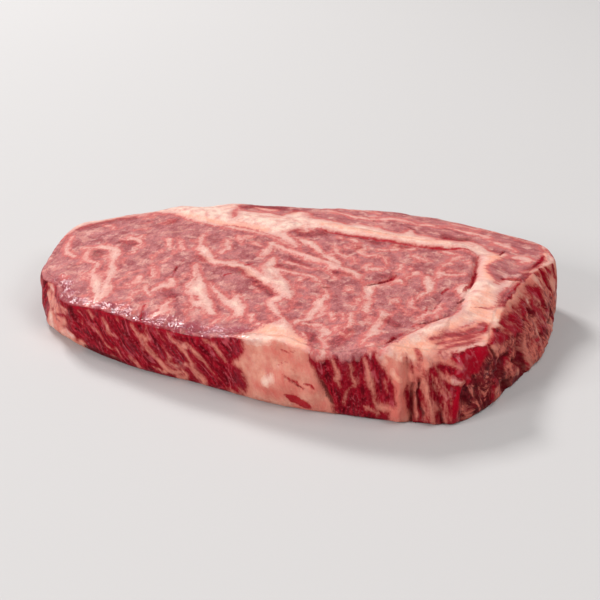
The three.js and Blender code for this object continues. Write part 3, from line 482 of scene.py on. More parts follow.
# Thin lines and spots of clear blood red on the side.
SIDE_BLOOD = [
    [(160.2, 0.735, 0.3), (161.4, 0.75, 1.2), (163, 0.775, 1.9), (165, 0.805, 2.1), (167, 0.845, 1.9),
     (168.6, 0.875, 1.2), (169.6, 0.89, 0.3)],
    [(159.6, 0.44, 0.2), (163, 0.51, 0.6), (166.8, 0.6, 0.45)],
    [(161.4, 0.45, 0.2), (164.4, 0.52, 0.5)],
    [(167, 0.52, 0.4), (169.6, 0.55, 0.8), (170.8, 0.59, 0.5)],
    [(155.6, 0.1, 0.2), (159, 0.12, 0.45), (163, 0.07, 0.25)], [(156, 0.34, 0.1), (160, 0.27, 0.25)],
    [(203.6, 0.03, 0.2), (204.4, 0.08, 0.4)], [(199.6, 0.14, 0.1), (198.8, 0.08, 0.25)],
    [(217.2, 0.48, 0.7), (216, 0.58, 0.8), (215, 0.72, 0.8), (213.8, 0.94, 0.7)],
    [(271.4, 0.64, 0.8), (273.4, 0.67, 0.9)],
    [(304.4, 0.06, 0.2), (306, 0.12, 0.6), (307.4, 0.15, 0.6)], [(301.6, 0.1, 0.5), (302, 0.3, 0.5)],
    [(238, 0.02, 0.6), (243, 0.15, 0.8)], [(281, 0.14, 0.3), (280.6, 0.28, 0.4)],
    [(214.4, 0.04, 0.2), (218, 0.08, 0.6)], [(244, 0.6, 0.6), (249, 0.52, 0.6)],
    [(44.6, 0.5, 0.2), (46, 0.7, 0.4)],
]
# Brown-pink torn membrane and browner fat on the broad end, and painted shade along the foot of the block.
SIDE_DULL_AND_SHADE = [
    [(219.6, 0.62, 2.6), (225, 0.55, 4.4), (230, 0.42, 3.6)],
    [(219, 0.85, 3.2), (226, 0.8, 4.4), (230.6, 0.65, 3.0)], [(231, 0.2, 1.2), (233, 0.3, 1.2)],
    [(238, 0.2, 2.4), (246, 0.32, 2.6), (260, 0.43, 2.6)],
    [(238, 0.85, 3.4), (250, 0.7, 4.0), (257, 0.58, 3.0)], [(266, 0.45, 3.0), (278, 0.42, 3.0)],
    [(268, 0.7, 4.0), (272, 0.9, 5.0), (283, 0.95, 4.0)],
    [(296, 0.35, 3.0), (292, 0.72, 2.4), (305, 0.6, 3.4)],
    # painted shade along the foot of the block
    [(146, 0.98, -0.8), (160, 0.99, -0.6), (176, 0.99, 0)],
    [(198.6, 0.5, -1.2), (198.4, 0.75, -0.9), (198.6, 0.98, 0)],
]
# Hollows of the side and stretches of its foot, dented and painted a deep red as painted shade.
SIDE_SHADE = [
    [(161.8, 0.49, -0.1), (164, 0.55, 0.1), (167, 0.61, -0.1)],
    [(204.8, 0.36, 0.1), (204.3, 0.48, 0.2), (204.6, 0.62, 0.2), (205.4, 0.85, 0.3)],
    [(202.6, 0.55, 0.1), (202.4, 0.7, 0.2), (202.0, 0.95, 0.2)],
    [(210.2, 0.8, 0.1), (210.6, 0.95, 0.3)], [(172.6, 0.45, 0.2), (174.8, 0.62, 0.5), (177, 0.8, 0.5)],
    [(72, 0.93, 2.4), (84, 0.97, 1.6), (104, 0.98, 1.2)],
    [(234, 0.38, 0.8), (238, 0.48, 2.6), (242, 0.57, 2.4), (247, 0.5, 1.4), (251, 0.48, 0.6)],
    [(254, 0.62, 0.6), (256, 0.7, 1.2), (258.6, 0.78, 1.0)],
    [(260.8, 0.6, 0.8), (260.6, 0.75, 1.4), (259.6, 0.95, 1.6)],
    [(243, 0.8, 0.6), (246.6, 0.9, 2.0), (248, 1.0, 2.6)], [(252, 0.93, 0.8), (259, 0.96, 1.4)],
    [(262.6, 0.38, 0.5), (262, 0.46, 0.4)], [(279.6, 0.36, 0.8), (282, 0.4, 1.0)],
    [(282.4, 0.7, 0.5), (284, 0.75, 0.7)], [(279.2, 0.74, 0.5), (279.8, 0.77, 0.4)],
    [(291, 0.8, 0.6), (296, 0.83, 0.8), (299, 0.72, 0.7)],
    [(233.4, 0.12, 0.3), (234.4, 0.2, 0.5), (235, 0.28, 0.3)], [(223.6, 0.96, 1.4), (231, 0.94, 1.6)],
    [(219, 0.5, 0.3), (218, 0.62, 0.9), (219.6, 0.75, 0.6)], [(224, 0.68, 0.6), (226, 0.78, 0.6)],
]
# Rosy blush that blood gives the fat of the side.
SIDE_BLUSH = [
    [(152, 0.12, 1.2), (160, 0.16, 1.8), (166, 0.3, 1.6)],
    [(149, 0.68, 1.4), (156, 0.71, 2.2), (163, 0.7, 1.8)],
    [(158, 0.46, 1.2), (164, 0.54, 2.2), (171, 0.58, 1.8)], [(174, 0.85, 1.6), (166, 0.95, 2.2)],
    [(195, 0.16, 1.2), (197, 0.34, 2.6), (198.6, 0.6, 3.0), (198, 0.9, 3.0)],
    [(203, 0.2, 1.0), (209, 0.1, 1.6), (214, 0.12, 1.6)],
    [(199.4, 0.06, 1.2), (200.4, 0.3, 1.6), (200.6, 0.6, 1.2)], [(54, 0.7, 0.8), (57, 0.78, 0.8)],
    [(270, 0.8, 3.0), (268, 0.62, 1.6)], [(296, 0.22, 1.6), (298, 0.4, 1.2)],
    [(247, 0.08, 1.6), (258, 0.06, 1.8), (264, 0.09, 1.6)], [(287, 0.06, 1.4), (297, 0.05, 1.6)],
]
# Wet spots of the side.
SIDE_SHINE = [
    [(214, 0.1, 1.2), (219, 0.12, 1.6), (222, 0.1, 0.8)], [(216, 0.33, 1.0), (218, 0.36, 1.0)],
    [(197, 0.22, 0.6), (197.4, 0.3, 0.8)], [(192, 0.08, 1.0), (194, 0.2, 0.8)],
    [(205, 0.02, 0.8), (207, 0.03, 0.6)], [(153, 0.5, 0.6), (152.4, 0.6, 0.8)],
    [(145, 0.04, 1.6), (152, 0.02, 1.8), (160, 0.0, 1.4)], [(167, 0.35, 1.0), (168.4, 0.42, 0.8)],
    [(264, 0.32, 0.4), (281, 0.2, 0.8)], [(143.6, 0.82, 0.5), (144, 0.88, 0.5)],
    [(266, 0.2, 0.8), (276, 0.2, 0.8)], [(185, 0.32, 0.6), (185.4, 0.38, 0.5)],
    [(170, 0.02, 1.0), (186, 0.06, 1.4), (190, 0.02, 1.0)],
]
# Thin fat over lean, which comes out as a salmon haze.
SIDE_HAZE = [
    [(44, 0.3, 2.6), (52, 0.3, 4.0), (58, 0.25, 3.4), (64, 0.2, 1.6)], [(50, 0.5, 1.6), (58, 0.5, 1.6)],
    [(202, 0.1, 1.0), (206, 0.1, 2.0), (211, 0.08, 2.0), (215, 0.05, 1.2)],
    [(113, 0.14, 0.8), (117, 0.22, 1.2), (120, 0.28, 0.8)],
    [(113, 0.66, 0.8), (117, 0.68, 1.2), (120, 0.6, 0.8)], [(84, 0.2, 0.6), (86, 0.3, 1.0)],
    [(101, 0.34, 0.6), (102, 0.46, 0.8)],
]
# Cream places of the side: paler fat, and painted highlights where thick fat catches the light;
# a spot is a line with both ends alike.
SIDE_PALE_AND_HIGHLIGHT = [
    [(46, 0.09, 1.0), (49, 0.1, 0.6)],
    [(49.6, 0.5, 0.3), (50, 0.62, 0.8), (49.4, 0.8, 1.3), (50, 0.95, 1.0)],
    [(57, 0.84, 1.4), (60, 0.76, 1.4), (65, 0.72, 0.9)],
    [(143, 0.02, 1.0), (147, 0.03, 1.7), (152, 0.01, 1.0)], [(152, 0.58, 0.8), (155, 0.5, 1.0)],
    [(191.6, 0.08, 0.6), (193.6, 0.16, 0.8)], [(196.6, 0.27, 0.7), (198, 0.33, 0.4)],
    [(294, 0.08, 0.8), (297, 0.1, 1.0)], [(294.6, 0.2, 1.0), (296.6, 0.36, 1.4)],
    [(281.4, 0.22, 0.8)] * 2, [(216, 0.34, 0.9), (218.6, 0.37, 0.8)],
]

# ------------------------------------------------------------------ numbers of the finer work
NET = 112                # squares from the middle of the top to its edge
UNDER_NET = NET // 2     # the same on the underside, where a coarser net is enough
ROUND_ROWS = 7           # rows of points over the rounded upper edge
SIDE_ROWS = 24           # rows down the side below it
FOOT_ROWS = 3            # rows under the rounded foot
ROUND_END = 0.10         # share of the way down where the rounded edge ends
FOOT_START = 0.88        # and where the rounded foot starts
SIDE_HEIGHT = 24.0       # height that the shares in the side tables are read with
SEEN_SIDE = (42.0, 312.0)    # stretch of the side that the tables describe
TORN_FROM = 232.0        # distance where the torn broad end starts
RIM_POINTS = 540         # places round the rim where the cut face is asked for its fat, one for each mm
FIELD_REACH = 9.0        # depth and distance in mm at which a field of lines or areas stops growing
SEED = 7
NOISE_VALUES = 4096      # random values that the noise picks from, a power of two
NOISE_PRIMES = (73856093, 19349663, 83492791)    # stir a cell's place into the number of its value
OCTAVE_SHIFT = 17.3      # cells by which each finer octave is moved
OCTAVE_SHARE = 0.55      # strength of each finer octave against the one before
# Short faint lines: how many, which draw, limits across and down in mm, greatest length and half width.
FACE_WISPS = (170, 100, (-92, 68), (-56, 30), 6, 0.45)
TORN_WISPS = (150, 101, (236, 310), (1, 23), 5, 0.9)
TORN_BLOOD_WISPS = (90, 102, (236, 310), (1, 22), 4, 0.7)
# Stretches: the two marks between which each sets in, then the two between which it ends.
# the juice stretch also carries painted shade and sheen on the lean under it
JUICE_RUN = ((-88, -78), (20, 8))              # along X, juice at the front edge of the top
ROLLED_EDGE = ((150, 165), (222, 205))         # round the side, where the keen edge rolls over
ROLLED_LOOK = ((164, 170), (220, 206))         # where the look of the cut face rolls over with it
BLUNT_EDGE = ((200, 215), (320, 300))          # where the torn end blunts the edge
TORN_SHREDS = ((212, 222), (318, 300))         # where torn shreds stand out
JUICE_SHORE = (9, 3)                           # mm inward over which the juice of the top sets in
RELIEF_RUN = ((0, 0.06), (1.0, 0.9))           # share of the way down, the fine relief of the side
LIP_DOWN = 0.05                                # share of the way down of the juice under the edge
LIP_ENDS = ((52, 46), (134, 140))              # where that juice fades out, round the side
KEEN = 3.6               # power of the edge's corner: 2 would be a plain round one
ROLL_SOFTENS = 1.6       # what the rolled stretch takes off it
BLUNT_SOFTENS = 1.3      # and what the torn end does
VEIN_DRIFT = 3.0         # mm that the veins wander on their way down through the meat
UNDER_LIFT = 0.25        # mean height in mm of the underside's dents over the floor
UNDER_SHIFT = (40, 0, 0)    # moves the underside to another part of the patterns than the top's
# How many mm the fibres of the side shift along it for each mm down it: distance, shift; the first
# holds again where the side closes on itself.
FIBRE_SLANTS = [
    (0, 0.2), (45, -0.6), (66, 0.2), (75, 0.6), (135, 0.75), (165, 0.3), (190, 0.0), (206, 0.15),
    (216, -0.1), (235, 0.8), (262, 1.0), (290, 0.5), (312, 0.3), (430, 0.5),
]
# Layout of the texture map: upper face, two strips of side, underside; scales in map widths per mm.
MAP_MARGIN = 0.016
TOP_MAP_SCALE, TOP_MAP_CENTRE = 0.0044, (0.5, 0.712)
SIDE_MAP_SCALE, SIDE_MAP_TOPS = 0.0036, (0.420, 0.310)
UNDER_MAP_SCALE, UNDER_MAP_CENTRE = 0.0015, (0.17, 0.1)
# What every point of the mesh knows about its place, which the material reads by name: fat, blood and the
# depth in a crease, whose dark colour is painted shade, are in mm, and red, dull, wet and blush are shares.
LOOKS = ("fat", "blood", "crease", "red", "dull", "wet", "blush")


# ------------------------------------------------------------------ outlines by angle
def ring(points):
    """Smooth closed curve through plan points: a function of the angle giving radius and height."""
    table = np.array([(*p, 0.0)[:3] for p in points], float)
    angles = np.arctan2(table[:, 1], table[:, 0]) % TURN
    order = np.argsort(angles)
    values = np.stack([np.hypot(table[:, 0], table[:, 1]), table[:, 2]], 1)[order]
    angles = angles[order]
    angles = np.concatenate([angles[-2:] - TURN, angles, angles[:3] + TURN])
    values = np.concatenate([values[-2:], values, values[:3]])

    def at(angle):
        a = np.asarray(angle, float) % TURN
        i = np.clip(np.searchsorted(angles, a, side="right") - 1, 1, len(angles) - 3)
        gap = (angles[i + 1] - angles[i])[..., None]
        t = (a - angles[i])[..., None] / gap
        slope_1 = gap * (values[i + 1] - values[i - 1]) / (angles[i + 1] - angles[i - 1])[..., None]
        slope_2 = gap * (values[i + 2] - values[i]) / (angles[i + 2] - angles[i])[..., None]
        found = ((2 * t**3 - 3 * t**2 + 1) * values[i] + (t**3 - 2 * t**2 + t) * slope_1
                 + (3 * t**2 - 2 * t**3) * values[i + 1] + (t**3 - t**2) * slope_2)
        return found[..., 0], found[..., 1]

    return at


top_edge = ring(TOP_EDGE)
foot_edge = ring(FOOT_EDGE)


def plan_point(edge, angle):
    """A point of an outline, at an angle round the middle."""
    radius, _ = edge(angle)
    return radius * np.cos(angle), radius * np.sin(angle)


# Distance round the upper edge from the left end, against the angle there, in 4,000 short steps.
EDGE_ANGLES = np.linspace(-math.pi, math.pi, 4001)
EDGE_STEPS = np.hypot(*np.diff(plan_point(top_edge, EDGE_ANGLES)))
EDGE_LENGTHS = np.concatenate([[0], np.cumsum(EDGE_STEPS)])
GIRTH = EDGE_LENGTHS[-1]


def angle_at(distance):
    """The angle round the middle at a distance along the upper edge."""
    return np.interp(np.asarray(distance, float) % GIRTH, EDGE_LENGTHS, EDGE_ANGLES)


def outward(distance, reach=2.0):
    """Plan normal of the upper edge, pointing out of the meat."""
    x0, y0 = plan_point(top_edge, angle_at(distance - reach))
    x1, y1 = plan_point(top_edge, angle_at(distance + reach))
    length = np.hypot(x1 - x0, y1 - y0)
    return (y1 - y0) / length, (x0 - x1) / length


# ------------------------------------------------------------------ fields over the surface
def ease(low, high, value):
    """Smooth step from 0 at the low mark to 1 at the high one; it falls where low is above high."""
    t = np.clip((value - low) / (high - low), 0, 1)
    return t * t * (3 - 2 * t)


def stretch(marks, place):
    """1 along a stretch, with a smooth rise between its first two marks and a fall between the others."""
    return ease(*marks[0], place) * ease(*marks[1], place)


def bell(u, v=0):
    """1 in the middle, and about a third at a distance of one."""
    return np.exp(-u * u - v * v)


def smoothed(line, closed=False, cuts=3):
    """A given line with a rounded run through its points."""
    table = np.array(line, float)
    count = len(table)
    ends = (np.concatenate([table[-1:], table, table[:2]]) if closed
            else np.concatenate([table[:1], table, table[-1:]]))
    run = []
    for i in range(count if closed else count - 1):
        a, b, c, d = ends[i:i + 4]
        for t in np.arange(cuts) / cuts:
            run.append(0.5 * (2 * b + (c - a) * t + (2 * a - 5 * b + 4 * c - d) * t**2
                              + (3 * b - a - 3 * c + d) * t**3))
    if not closed:
        run.append(table[-1])
    return np.array(run)


def near(x, y, run):
    """Numbers of the points that are close enough to a run to lie in its field."""
    low, high = run[:, :2].min(0) - FIELD_REACH, run[:, :2].max(0) + FIELD_REACH
    return np.flatnonzero((x > low[0]) & (x < high[0]) & (y > low[1]) & (y < high[1]))


def from_segment(x, y, start, end):
    """Distance from a straight segment, and the share of the way along it of the nearest place."""
    dx, dy = end[0] - start[0], end[1] - start[1]
    t = np.clip(((x - start[0]) * dx + (y - start[1]) * dy) / (dx * dx + dy * dy + TINY), 0, 1)
    return np.hypot(x - start[0] - t * dx, y - start[1] - t * dy), t


def line_field(x, y, lines):
    """How deep each point lies in the lines: half width less the distance, negative outside."""
    field = np.full(x.shape, -FIELD_REACH)
    for line in lines:
        run = smoothed(line)
        some = near(x, y, run)
        px, py, best = x[some], y[some], field[some]
        for start, end in zip(run, run[1:]):
            gap, t = from_segment(px, py, start, end)
            best = np.maximum(best, start[2] + (end[2] - start[2]) * t - gap)
        field[some] = best
    return field


def area_field(x, y, areas):
    """How deep each point lies in the closed outlines, negative outside."""
    field = np.full(x.shape, -FIELD_REACH)
    for area in areas:
        run = smoothed(area, closed=True)
        some = near(x, y, run)
        px, py = x[some], y[some]
        inside = np.zeros(px.shape, bool)
        gap = np.full(px.shape, FIELD_REACH)
        for start, end in zip(run, np.roll(run, -1, 0)):
            gap = np.minimum(gap, from_segment(px, py, start, end)[0])
            # a ray to the right changes sides wherever it crosses the outline
            dx, dy = end - start
            crossing = start[0] + dx * (py - start[1]) / (dy or TINY)
            inside ^= ((start[1] > py) != (end[1] > py)) & (px < crossing)
        field[some] = np.maximum(field[some], np.where(inside, gap, -gap))
    return field


def noise(points, size, seed=0, octaves=1):
    """Smooth random field from -1 to 1 with bumps of the given size in mm."""
    table = np.random.default_rng(SEED + seed).uniform(-1, 1, NOISE_VALUES)
    total, weight, amount = 0.0, 0.0, 1.0
    for octave in range(octaves):
        p = points / size * 2**octave + OCTAVE_SHIFT * octave
        cell = np.floor(p).astype(np.int64)
        f = p - cell
        f = f * f * (3 - 2 * f)
        value = 0.0
        for corner in range(8):
            step = np.array([corner & 1, corner >> 1 & 1, corner >> 2 & 1])
            key = ((cell + step) * NOISE_PRIMES).sum(-1)
            part = np.where(step, f, 1 - f).prod(-1)
            value = value + part * table[(key ^ (key >> 13)) & (NOISE_VALUES - 1)]
        total, weight, amount = total + amount * value, weight + amount, amount * OCTAVE_SHARE
    return total / weight


def wavering(place, spot, seed, *waves):
    """A coordinate made to waver; each wave is a height and a size in mm."""
    for number, (height, size) in enumerate(waves):
        place = place + height * noise(spot, size, seed + number)
    return place


# ------------------------------------------------------------------ skin of the steak
def line_relief(x, y, lines):
    """Sum of raised bands and furrows, each a rise, a half width and a line."""
    z = np.zeros(x.shape)
    for rise, half, line in lines:
        gap = np.full(x.shape, np.inf)
        for start, end in zip(line, line[1:]):
            gap = np.minimum(gap, from_segment(x, y, start, end)[0])
        z += rise * bell(gap / half)
    return z


def top_relief(x, y):
    """Bands, creases and swells of the upper cut face."""
    z = line_relief(x, y, TOP_LINES)
    for cx, cy, along, across, turn, rise in TOP_SWELLS:
        c, s = math.cos(math.radians(turn)), math.sin(math.radians(turn))
        z += rise * bell(((x - cx) * c + (y - cy) * s) / along, ((y - cy) * c - (x - cx) * s) / across)
    return z


def top_height(x, y):
    """Height of the upper cut face over a place in plan."""
    reach, edge = top_edge(np.arctan2(y, x))
    share = np.minimum(1, np.hypot(x, y) / reach)
    return edge + (CROWN - edge) * (1 - share**CROWN_POWER) + top_relief(x, y)


def side_rise(distance, down):
    """How far the side stands out from the straight line between its edge and its foot."""
    rise = SIDE_BELLY * np.sin(math.pi * down)
    fade = ease(0, SWELL_FADE, down) * ease(0, SWELL_FADE, 1 - down)
    phase = TURN * round(GIRTH / RIPPLE_PITCH) * distance / GIRTH + RIPPLE_LEAN * down
    rise = rise + fade * RIPPLE * np.sin(phase)
    for at, middle, along, high, slant, out in SIDE_SWELLS:
        u = (distance - at - slant * (down - middle)) / along
        rise = rise + fade * out * bell(u, (down - middle) / high)
    return rise


def side_point(distance, down):
    """A point of the side before its edges are rounded, from the upper edge (down 0) to the foot (1)."""
    angle = angle_at(distance)
    tx, ty = plan_point(top_edge, angle)
    fx, fy = plan_point(foot_edge, angle)
    nx, ny = outward(distance)
    out = side_rise(distance, down)
    return np.stack([tx + (fx - tx) * down + nx * out, ty + (fy - ty) * down + ny * out,
                     top_height(tx, ty) * (1 - down)], -1)


def inner_point(distance, inset):
    """A place in plan that lies inside the upper edge by an inset."""
    x, y = plan_point(top_edge, angle_at(distance))
    nx, ny = outward(distance)
    return x - nx * inset, y - ny * inset


def rounded(start, corner, end, t, power=2.0):
    """A rounded corner; a higher power than 2 lets it come closer to the corner itself."""
    first, last = (1 - t)**power, t**power
    return first * start + (1 - first - last) * corner + last * end


# ------------------------------------------------------------------ looks of each place
def face_looks(x, y, z):
    """The looks of places on a cut face, in the order of LOOKS."""
    spot = np.stack([x, y, z], -1)
    # all outlines waver a little; an ease turns a depth in mm into a share with a soft rim
    wx = wavering(x, spot, 1, (0.7, 4.5), (0.35, 1.7))
    wy = wavering(y, spot, 3, (0.7, 4.5), (0.35, 1.7))
    # the veins swell, thin out and break off along their length
    uneven = 1.3 * noise(spot, 4.5, 25, octaves=3)
    veins = line_field(wx, wy, FACE_VEINS + wisps(*FACE_WISPS)) + uneven
    fat = np.maximum(area_field(wx, wy, FACE_FAT_AREAS), veins)
    fat = np.minimum(fat, -line_field(wx, wy, FACE_LEAN_STREAKS))
    crimson = line_field(wx, wy, FACE_CRIMSON)
    fat = np.minimum(fat, 0.5 - crimson)
    fresh = 0.55 * ease(-2.6, 1.2, line_field(wx, wy, FACE_RED))
    red = np.maximum(fresh, 1.2 * ease(-1.2, 0.6, crimson))
    # juice stands along the front edge of the top, from the left end to the block of fat
    reach, _ = top_edge(np.arctan2(y, x))
    shore = (1 - np.hypot(x, y) / reach) * reach
    wet = ease(*JUICE_SHORE, shore) * stretch(JUICE_RUN, x) * (y < 0)
    # painted shade: under the juice the lean is made redder and darker, where the edge turns from the light
    red = np.maximum(red, 0.3 * wet)
    wet = wet * np.clip(0.6 + 1.4 * noise(spot, 2.6, 21, octaves=2), 0.03, 1)
    wet = np.maximum(0.04 + 0.96 * wet, 0.8 * ease(-2, 1, line_field(wx, wy, FACE_SHINE)))
    blush = ease(-3, 2, line_field(wx, wy, FACE_BLUSH))
    blood, crease = line_field(wx, wy, FACE_BLOOD), line_field(wx, wy, FACE_CREASE_SHADE)
    return fat, blood, crease, red, np.zeros(x.shape), wet, blush


def wisps(count, seed, across, down, longest, widest):
    """Short faint lines strewn between the given limits, drawn at random but always the same."""
    rng = np.random.default_rng(SEED + seed)
    lines = []
    for _ in range(count):
        x, y = rng.uniform(*across), rng.uniform(*down)
        turn = rng.uniform(0.15, 0.85) * math.pi
        length, half = rng.uniform(2, longest), rng.uniform(-0.1, widest)
        bend = rng.uniform(-0.3, 0.3) * length
        dx, dy = math.cos(turn) * length / 2, math.sin(turn) * length / 2
        lines.append([(x - dx, y - dy, half - 0.3), (x + bend, y, half), (x + dx, y + dy, half - 0.3)])
    return lines


def hidden_veins():
    """Veins of the side that the tables leave out, drawn at random but always the same."""
    rng = np.random.default_rng(SEED)
    veins, at = [], SEEN_SIDE[1] + 3
    while at < GIRTH + SEEN_SIDE[0] - 6:
        high, low = sorted(rng.uniform(-0.1, 1.1, 2))
        slant, half = rng.uniform(2, 9), rng.uniform(0.35, 1.15)
        middle = (high + low) / 2
        veins.append([(at, high * SIDE_HEIGHT, 0.4 * half),
                      (at + slant * 0.45, middle * SIDE_HEIGHT, half),
                      (at + slant, low * SIDE_HEIGHT, 0.5 * half)])
        if rng.random() < 0.45:
            veins.append([(at + slant * 0.45, middle * SIDE_HEIGHT, 0.7 * half),
                          (at + slant * 0.2 - 3, (middle + 0.16) * SIDE_HEIGHT, 0.3 * half)])
        at += rng.uniform(3.0, 7.5)
    return veins


def to_mm(lines):
    """Lines of the side with their shares of the way down turned to mm."""
    return [[(p[0], p[1] * SIDE_HEIGHT, *p[2:]) for p in line] for line in lines]


def side_looks(distance, down, spot):
    """The looks of places on the side, in the order of LOOKS, and its relief in mm."""
    s = np.where(distance < SEEN_SIDE[0], distance + GIRTH, distance)
    d = down * SIDE_HEIGHT
    ws = wavering(s, spot, 5, (0.55, 4.0), (0.3, 1.5))
    wd = wavering(d, spot, 7, (0.9, 5.0), (0.4, 1.7))

    def field(table, *more):
        return line_field(ws, wd, sum(more, to_mm(table)))

    fat = np.maximum(area_field(ws, wd, to_mm(SIDE_FAT_AREAS)),
                     field(SIDE_VEINS, hidden_veins(), wisps(*TORN_WISPS)) - 0.1)
    fat = np.minimum(fat, -field(SIDE_LEAN_STREAKS))
    haze = ease(-2, 1.5, field(SIDE_HAZE))
    pale = ease(-1.2, 1.0, field(SIDE_PALE_AND_HIGHLIGHT))
    hazy = 0.5 + 1.6 * noise(spot, 2.4, 23, octaves=2)
    fat = fat + (hazy - fat) * haze * np.where(fat < hazy, 1, 0.7)
    # out of sight, fat at the rim of the cut face runs on down the side
    rim = np.linspace(0, GIRTH, RIM_POINTS)
    rx, ry = inner_point(rim, 1.0)
    rim_fat = np.maximum(area_field(rx, ry, FACE_FAT_AREAS), line_field(rx, ry, FACE_VEINS))
    run_on = np.interp(distance, rim, rim_fat) + 1.2 * noise(spot, 6, 9) - 0.06 * d
    first, last = SEEN_SIDE
    unseen = 1 - stretch(((first - 4, first), (last, last - 4)), distance)
    fat = np.where(unseen > 0.5, np.maximum(fat, run_on), fat)
    crimson = field(SIDE_CRIMSON)
    fat = np.where(s > TORN_FROM, np.minimum(fat, 0.6 - crimson), fat)
    clear = ease(-0.8, 0.6, crimson)
    # painted highlight: where pale, the side's fat takes the paler colour of the cut face's fat
    red = np.clip((0.78 - 0.22 * haze) * (1 - 0.95 * pale * (1 - clear)) + 0.5 * clear, 0, 1.3)
    # clear juice gathers under the lip of the cut face on the left half
    lip = 0.2 - 12 * np.abs(down - LIP_DOWN) + 0.7 * noise(spot, 3.0, 24, octaves=2)
    for marks in LIP_ENDS:
        lip = lip - 3 * ease(*marks, s)
    blood = np.maximum(field(SIDE_BLOOD, wisps(*TORN_BLOOD_WISPS)), lip)
    # painted shade in the hollows and along the foot, which are dented too
    crease = field(SIDE_SHADE)
    # dull also paints shade along the foot of the block
    dull = ease(-2.0, 1.2, field(SIDE_DULL_AND_SHADE)) * (1 - clear)
    glint = ease(-1.5, 1.5, field(SIDE_SHINE))
    blush = np.maximum(ease(-3, 2, field(SIDE_BLUSH)), 0.7 * haze)
    strands = [(rise, half, to_mm([line])[0]) for rise, half, line in SIDE_LINES]
    relief = line_relief(ws, wd, strands) + 0.3 * ease(-0.6, 1.6, fat) - 0.5 * ease(-0.8, 0.8, crease)
    sparks = ease(0.12, 0.5, noise(spot * (1, 1, 0.6), 1.7, 22, octaves=2))
    wet = np.maximum(0.03 + 0.55 * sparks, 0.95 * glint)
    return (fat, blood, crease, red, dull, wet, blush), relief


def face_share(distance, down, spot, fibre):
    """How far a place on the side still looks like the cut face that rolls over into it."""
    rolled = stretch(ROLLED_LOOK, distance)
    ragged = 0.012 * noise(spot, 1.6, 19) + 0.1 * rolled * noise(fibre, 1.5, 20, octaves=2)
    return ease(0.042 + 0.08 * rolled, 0.015 + 0.02 * rolled, down + ragged)


# ------------------------------------------------------------------ mesh of the steak
def net_places(half):
    """Distance round the edge and share of the way out for every point of a square net."""
    i, j = np.meshgrid(np.arange(-half, half + 1), np.arange(-half, half + 1), indexing="ij")
    size = np.maximum(np.abs(i), np.abs(j))
    safe_i, safe_j = np.where(i == 0, 1, i), np.where(j == 0, 1, j)
    turn = np.where(np.abs(i) >= np.abs(j), np.where(i > 0, 0, 4) + j / safe_i,
                    np.where(j > 0, 2, 6) - i / safe_j)
    return GIRTH * (turn % 8) / 8, size / half


def net_border(half):
    """Numbers of the points on the border of the net, in the order of their distance."""
    k = np.arange(8 * half)
    part, along = (k + half) // (2 * half) % 4, (k + half) % (2 * half) - half
    i = np.choose(part, [half, -along, -half, along])
    j = np.choose(part, [along, half, -along, -half])
    return (i + half) * (2 * half + 1) + j + half


def net_faces(half):
    """Corners of the squares of a net, by the numbers of its points."""
    n = 2 * half + 1
    a = (np.arange(n - 1)[:, None] * n + np.arange(n - 1)).ravel()
    return np.stack([a, a + n, a + n + 1, a + 1], 1)


def fine_top(spot):
    """Relief of a cut face that is finer than the solid holds, in mm."""
    return 0.26 * noise(spot, 8, 10) + 0.18 * noise(spot, 2.8, 11)


def fine_side(distance, spot, fibre):
    """Relief of the side that is finer than the solid holds: long streaks, and shreds on the torn end."""
    cord = noise(fibre, 1.8, 13, octaves=2)
    shred = noise(fibre * (1, 1, 2.2), 3.4, 14, octaves=3)
    return 0.3 * cord + 0.2 * noise(spot, 6, 15) + 0.7 * stretch(TORN_SHREDS, distance) * shred


def side_fibre(spot, distance, depth):
    """Coordinates by the fibres of the side, which slant down it: along a fibre they change little."""
    slants = [*FIBRE_SLANTS, (GIRTH, FIBRE_SLANTS[0][1])]
    shift = np.interp(distance, *zip(*slants)) * depth
    nx, ny = outward(distance)
    return np.stack([spot[..., 0] + ny * shift, spot[..., 1] - nx * shift, spot[..., 2] * 0.24], -1)


def face_fibre(spot):
    """The same for a cut face, whose fibres stand up; beyond the seam under the cap they lie along X."""
    seam = np.interp(spot[:, 0], *zip(*CAP_SEAM))
    eye = spot[:, 1] < seam
    return np.stack([spot[:, 0] * np.where(eye, 1.15, 0.3), spot[:, 1] * np.where(eye, 0.75, 1),
                     spot[:, 2] * 0.15], -1)


def side_places(ring_points):
    """Texture places of the side: two strips, each half the way round."""
    rows, around = ring_points.shape[:2]
    steps = np.linalg.norm(np.diff(ring_points, axis=0), axis=-1).mean(1)
    deep = np.concatenate([[0], np.cumsum(steps)])
    row, k = np.meshgrid(np.arange(rows - 1), np.arange(around), indexing="ij")
    second = (k >= around // 2).astype(int)
    places = []
    for row_step, k_step in ((0, 0), (1, 0), (1, 1), (0, 1)):
        along = GIRTH * ((k + k_step) / around - second / 2) * SIDE_MAP_SCALE
        under = deep[row + row_step] * SIDE_MAP_SCALE
        places.append(np.stack([MAP_MARGIN + along, np.take(SIDE_MAP_TOPS, second) - under], -1))
    return np.stack(places, -2).reshape(-1, 2)


def flat(x, y):
    """Points in plan, with no height."""
    return np.stack([x, y, 0 * x], -1)


def upper_face():
    """Points, looks and fibre places of the upper cut face."""
    distance, share = net_places(NET)
    ix, iy = inner_point(distance, EDGE_ROUND)
    x, y = ix * share, iy * share
    top = np.stack([x, y, top_height(x, y)], -1).reshape(-1, 3)
    looks = np.array(face_looks(*top.T))
    fat, _, crease, *_ = looks
    top[:, 2] += fine_top(top) + 0.1 * ease(-0.6, 0.8, fat) - 0.4 * ease(-0.8, 0.4, crease)
    return top, looks, face_fibre(top)


